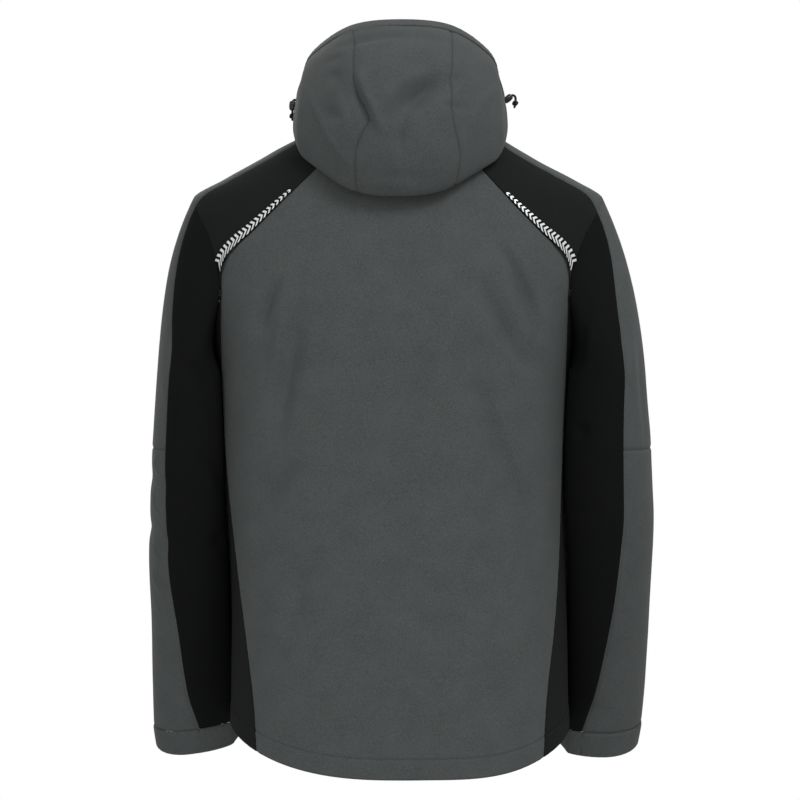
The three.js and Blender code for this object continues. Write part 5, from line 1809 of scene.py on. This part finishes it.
def tooth_template():
    bm = bmesh.new()
    bmesh.ops.create_cube(bm, size=1)
    bmesh.ops.scale(bm, verts=bm.verts, vec=(ZIP_TEETH / 2 + TOOTH["reach"], TOOTH["thick"], TOOTH["high"]))
    bmesh.ops.translate(bm, verts=bm.verts, vec=((ZIP_TEETH / 2 - TOOTH["reach"]) / 2, 0, 0))
    for vertex in bm.verts:
        if vertex.co.x < 0:
            vertex.co.z *= TOOTH["head"]
    bmesh.ops.bevel(
        bm, geom=[*bm.verts, *bm.edges], offset=0.22, affect="EDGES", segments=1, profile=0.5, material=-1
    )
    return template_of(bm)


def zip_rows(side_sign, start):
    z = np.arange(float(hem_z(-90)) + 4 + start, COLLAR_TOP_Z - 4, TOOTH["pitch"])
    up = unit(zip_point(0, z + 2) - zip_point(0, z - 2))
    across = np.zeros_like(up) + (side_sign, 0, 0)
    out = unit(np.cross(across, up)) * side_sign
    centres = zip_point(0, z) + out * (ZIP_ABOVE_CLOTH - ZIP_THICK / 2)
    return hung(centres), np.stack([across, out, up], axis=1)


left_row, right_row = zip_rows(1, 0), zip_rows(-1, TOOTH["pitch"] / 2)
zip_teeth = repeated(
    "zip_teeth_rows",
    tooth_template(),
    np.concatenate((left_row[0], right_row[0])),
    np.concatenate((left_row[1], right_row[1])),
    [plastic],
    smooth=False,
)
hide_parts("zip_teeth")


SOFT_EDGE = 0.3


def softened(name, node_name, material, body_name="jacket"):
    """A copy of a solid with its sharp edges bevelled."""
    bm = bmesh.new()
    bm.from_mesh(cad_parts[node_name].data)
    bmesh.ops.remove_doubles(bm, verts=bm.verts, dist=0.002 * MM)
    bmesh.ops.dissolve_limit(bm, angle_limit=math.radians(1), verts=bm.verts, edges=bm.edges)
    sharp = [edge for edge in bm.edges if edge.is_manifold and edge.calc_face_angle() > math.radians(40)]
    bmesh.ops.bevel(
        bm, geom=sharp, offset=SOFT_EDGE * MM, affect="EDGES", segments=3, profile=0.5, material=-1,
        clamp_overlap=True,
    )
    bmesh.ops.recalc_face_normals(bm, faces=bm.faces)
    piece = new_piece(name, bm, [material], body_name)
    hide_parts(node_name)
    return piece


softened("zip_slider_cast", "zip_slider", eyelet_metal)
softened("zip_pull_tab", "zip_pull", plastic, "zip_pull")
tape_cloth = thread_material("zip tape", (0.003, 0.003, 0.003), (0.010, 0.010, 0.010))
tape_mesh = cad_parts["zip_tape"].data
tape_mesh.materials.clear()
tape_mesh.materials.append(tape_cloth)

# %% [markdown]
# The photo's light is soft and comes mostly from above and from the camera's side, on pure white. The
# world is white to the camera, but it lights the cloth less from below than from above, which is what
# draws the folds. The floor does the same, so that its edge doesn't show.

# %% Studio
SKY = {"below": 0.6, "above": 0.81}
scene.view_settings.view_transform = "Standard"
world = bpy.data.worlds.new("studio")
world.use_nodes = True
tree = world.node_tree
background = tree.nodes["Background"]
direction = node(tree, "ShaderNodeTexCoord")
upward = node(tree, "ShaderNodeSeparateXYZ", {0: direction.outputs["Generated"]})
share_up = maths(tree, "ADD", maths(tree, "MULTIPLY", upward.outputs["Z"], 0.5), 0.5, clamp=True)
strength = maths(tree, "ADD", maths(tree, "MULTIPLY", share_up, SKY["above"] - SKY["below"]), SKY["below"])
seen = node(tree, "ShaderNodeLightPath").outputs["Is Camera Ray"]
set_inputs(background, {"Color": (1, 1, 1, 1), "Strength": maths(tree, "MAXIMUM", strength, seen)})
scene.world = world


def soft_light(name, place, look_at, size, power):
    light = bpy.data.lights.new(name, "AREA")
    light.shape = "SQUARE"
    light.size = size
    light.energy = power
    made = bpy.data.objects.new(name, light)
    made.location = place
    made.rotation_euler = (Vector(look_at) - Vector(place)).to_track_quat("-Z", "Y").to_euler()
    scene.collection.objects.link(made)


MIDDLE = (0, 0, -0.35)
soft_light("key", (-1.2, 1.7, 2.0), MIDDLE, 1.0, 44)
soft_light("fill", (0.9, 2.6, -1.1), MIDDLE, 2.0, 26)
soft_light("front", (0.8, -2.6, 1.2), MIDDLE, 2.0, 26)

FLOOR_Z = -1.45
floor_bm = bmesh.new()
bmesh.ops.create_grid(floor_bm, x_segments=1, y_segments=1, size=30)
bmesh.ops.translate(floor_bm, verts=floor_bm.verts, vec=(0, 0, FLOOR_Z))
floor_material, tree, shader = plain_material("pale floor", (0.55, 0.55, 0.55), 0.9)
glow = node(tree, "ShaderNodeEmission", {"Color": (1, 1, 1, 1)})
seen = node(tree, "ShaderNodeLightPath").outputs["Is Camera Ray"]
mixed = node(tree, "ShaderNodeMixShader", {0: seen, 1: shader.outputs[0], 2: glow.outputs[0]})
set_inputs(tree.nodes["Material Output"], {"Surface": mixed.outputs[0]})
floor = in_scene("floor", mesh_of("floor", floor_bm), [floor_material])
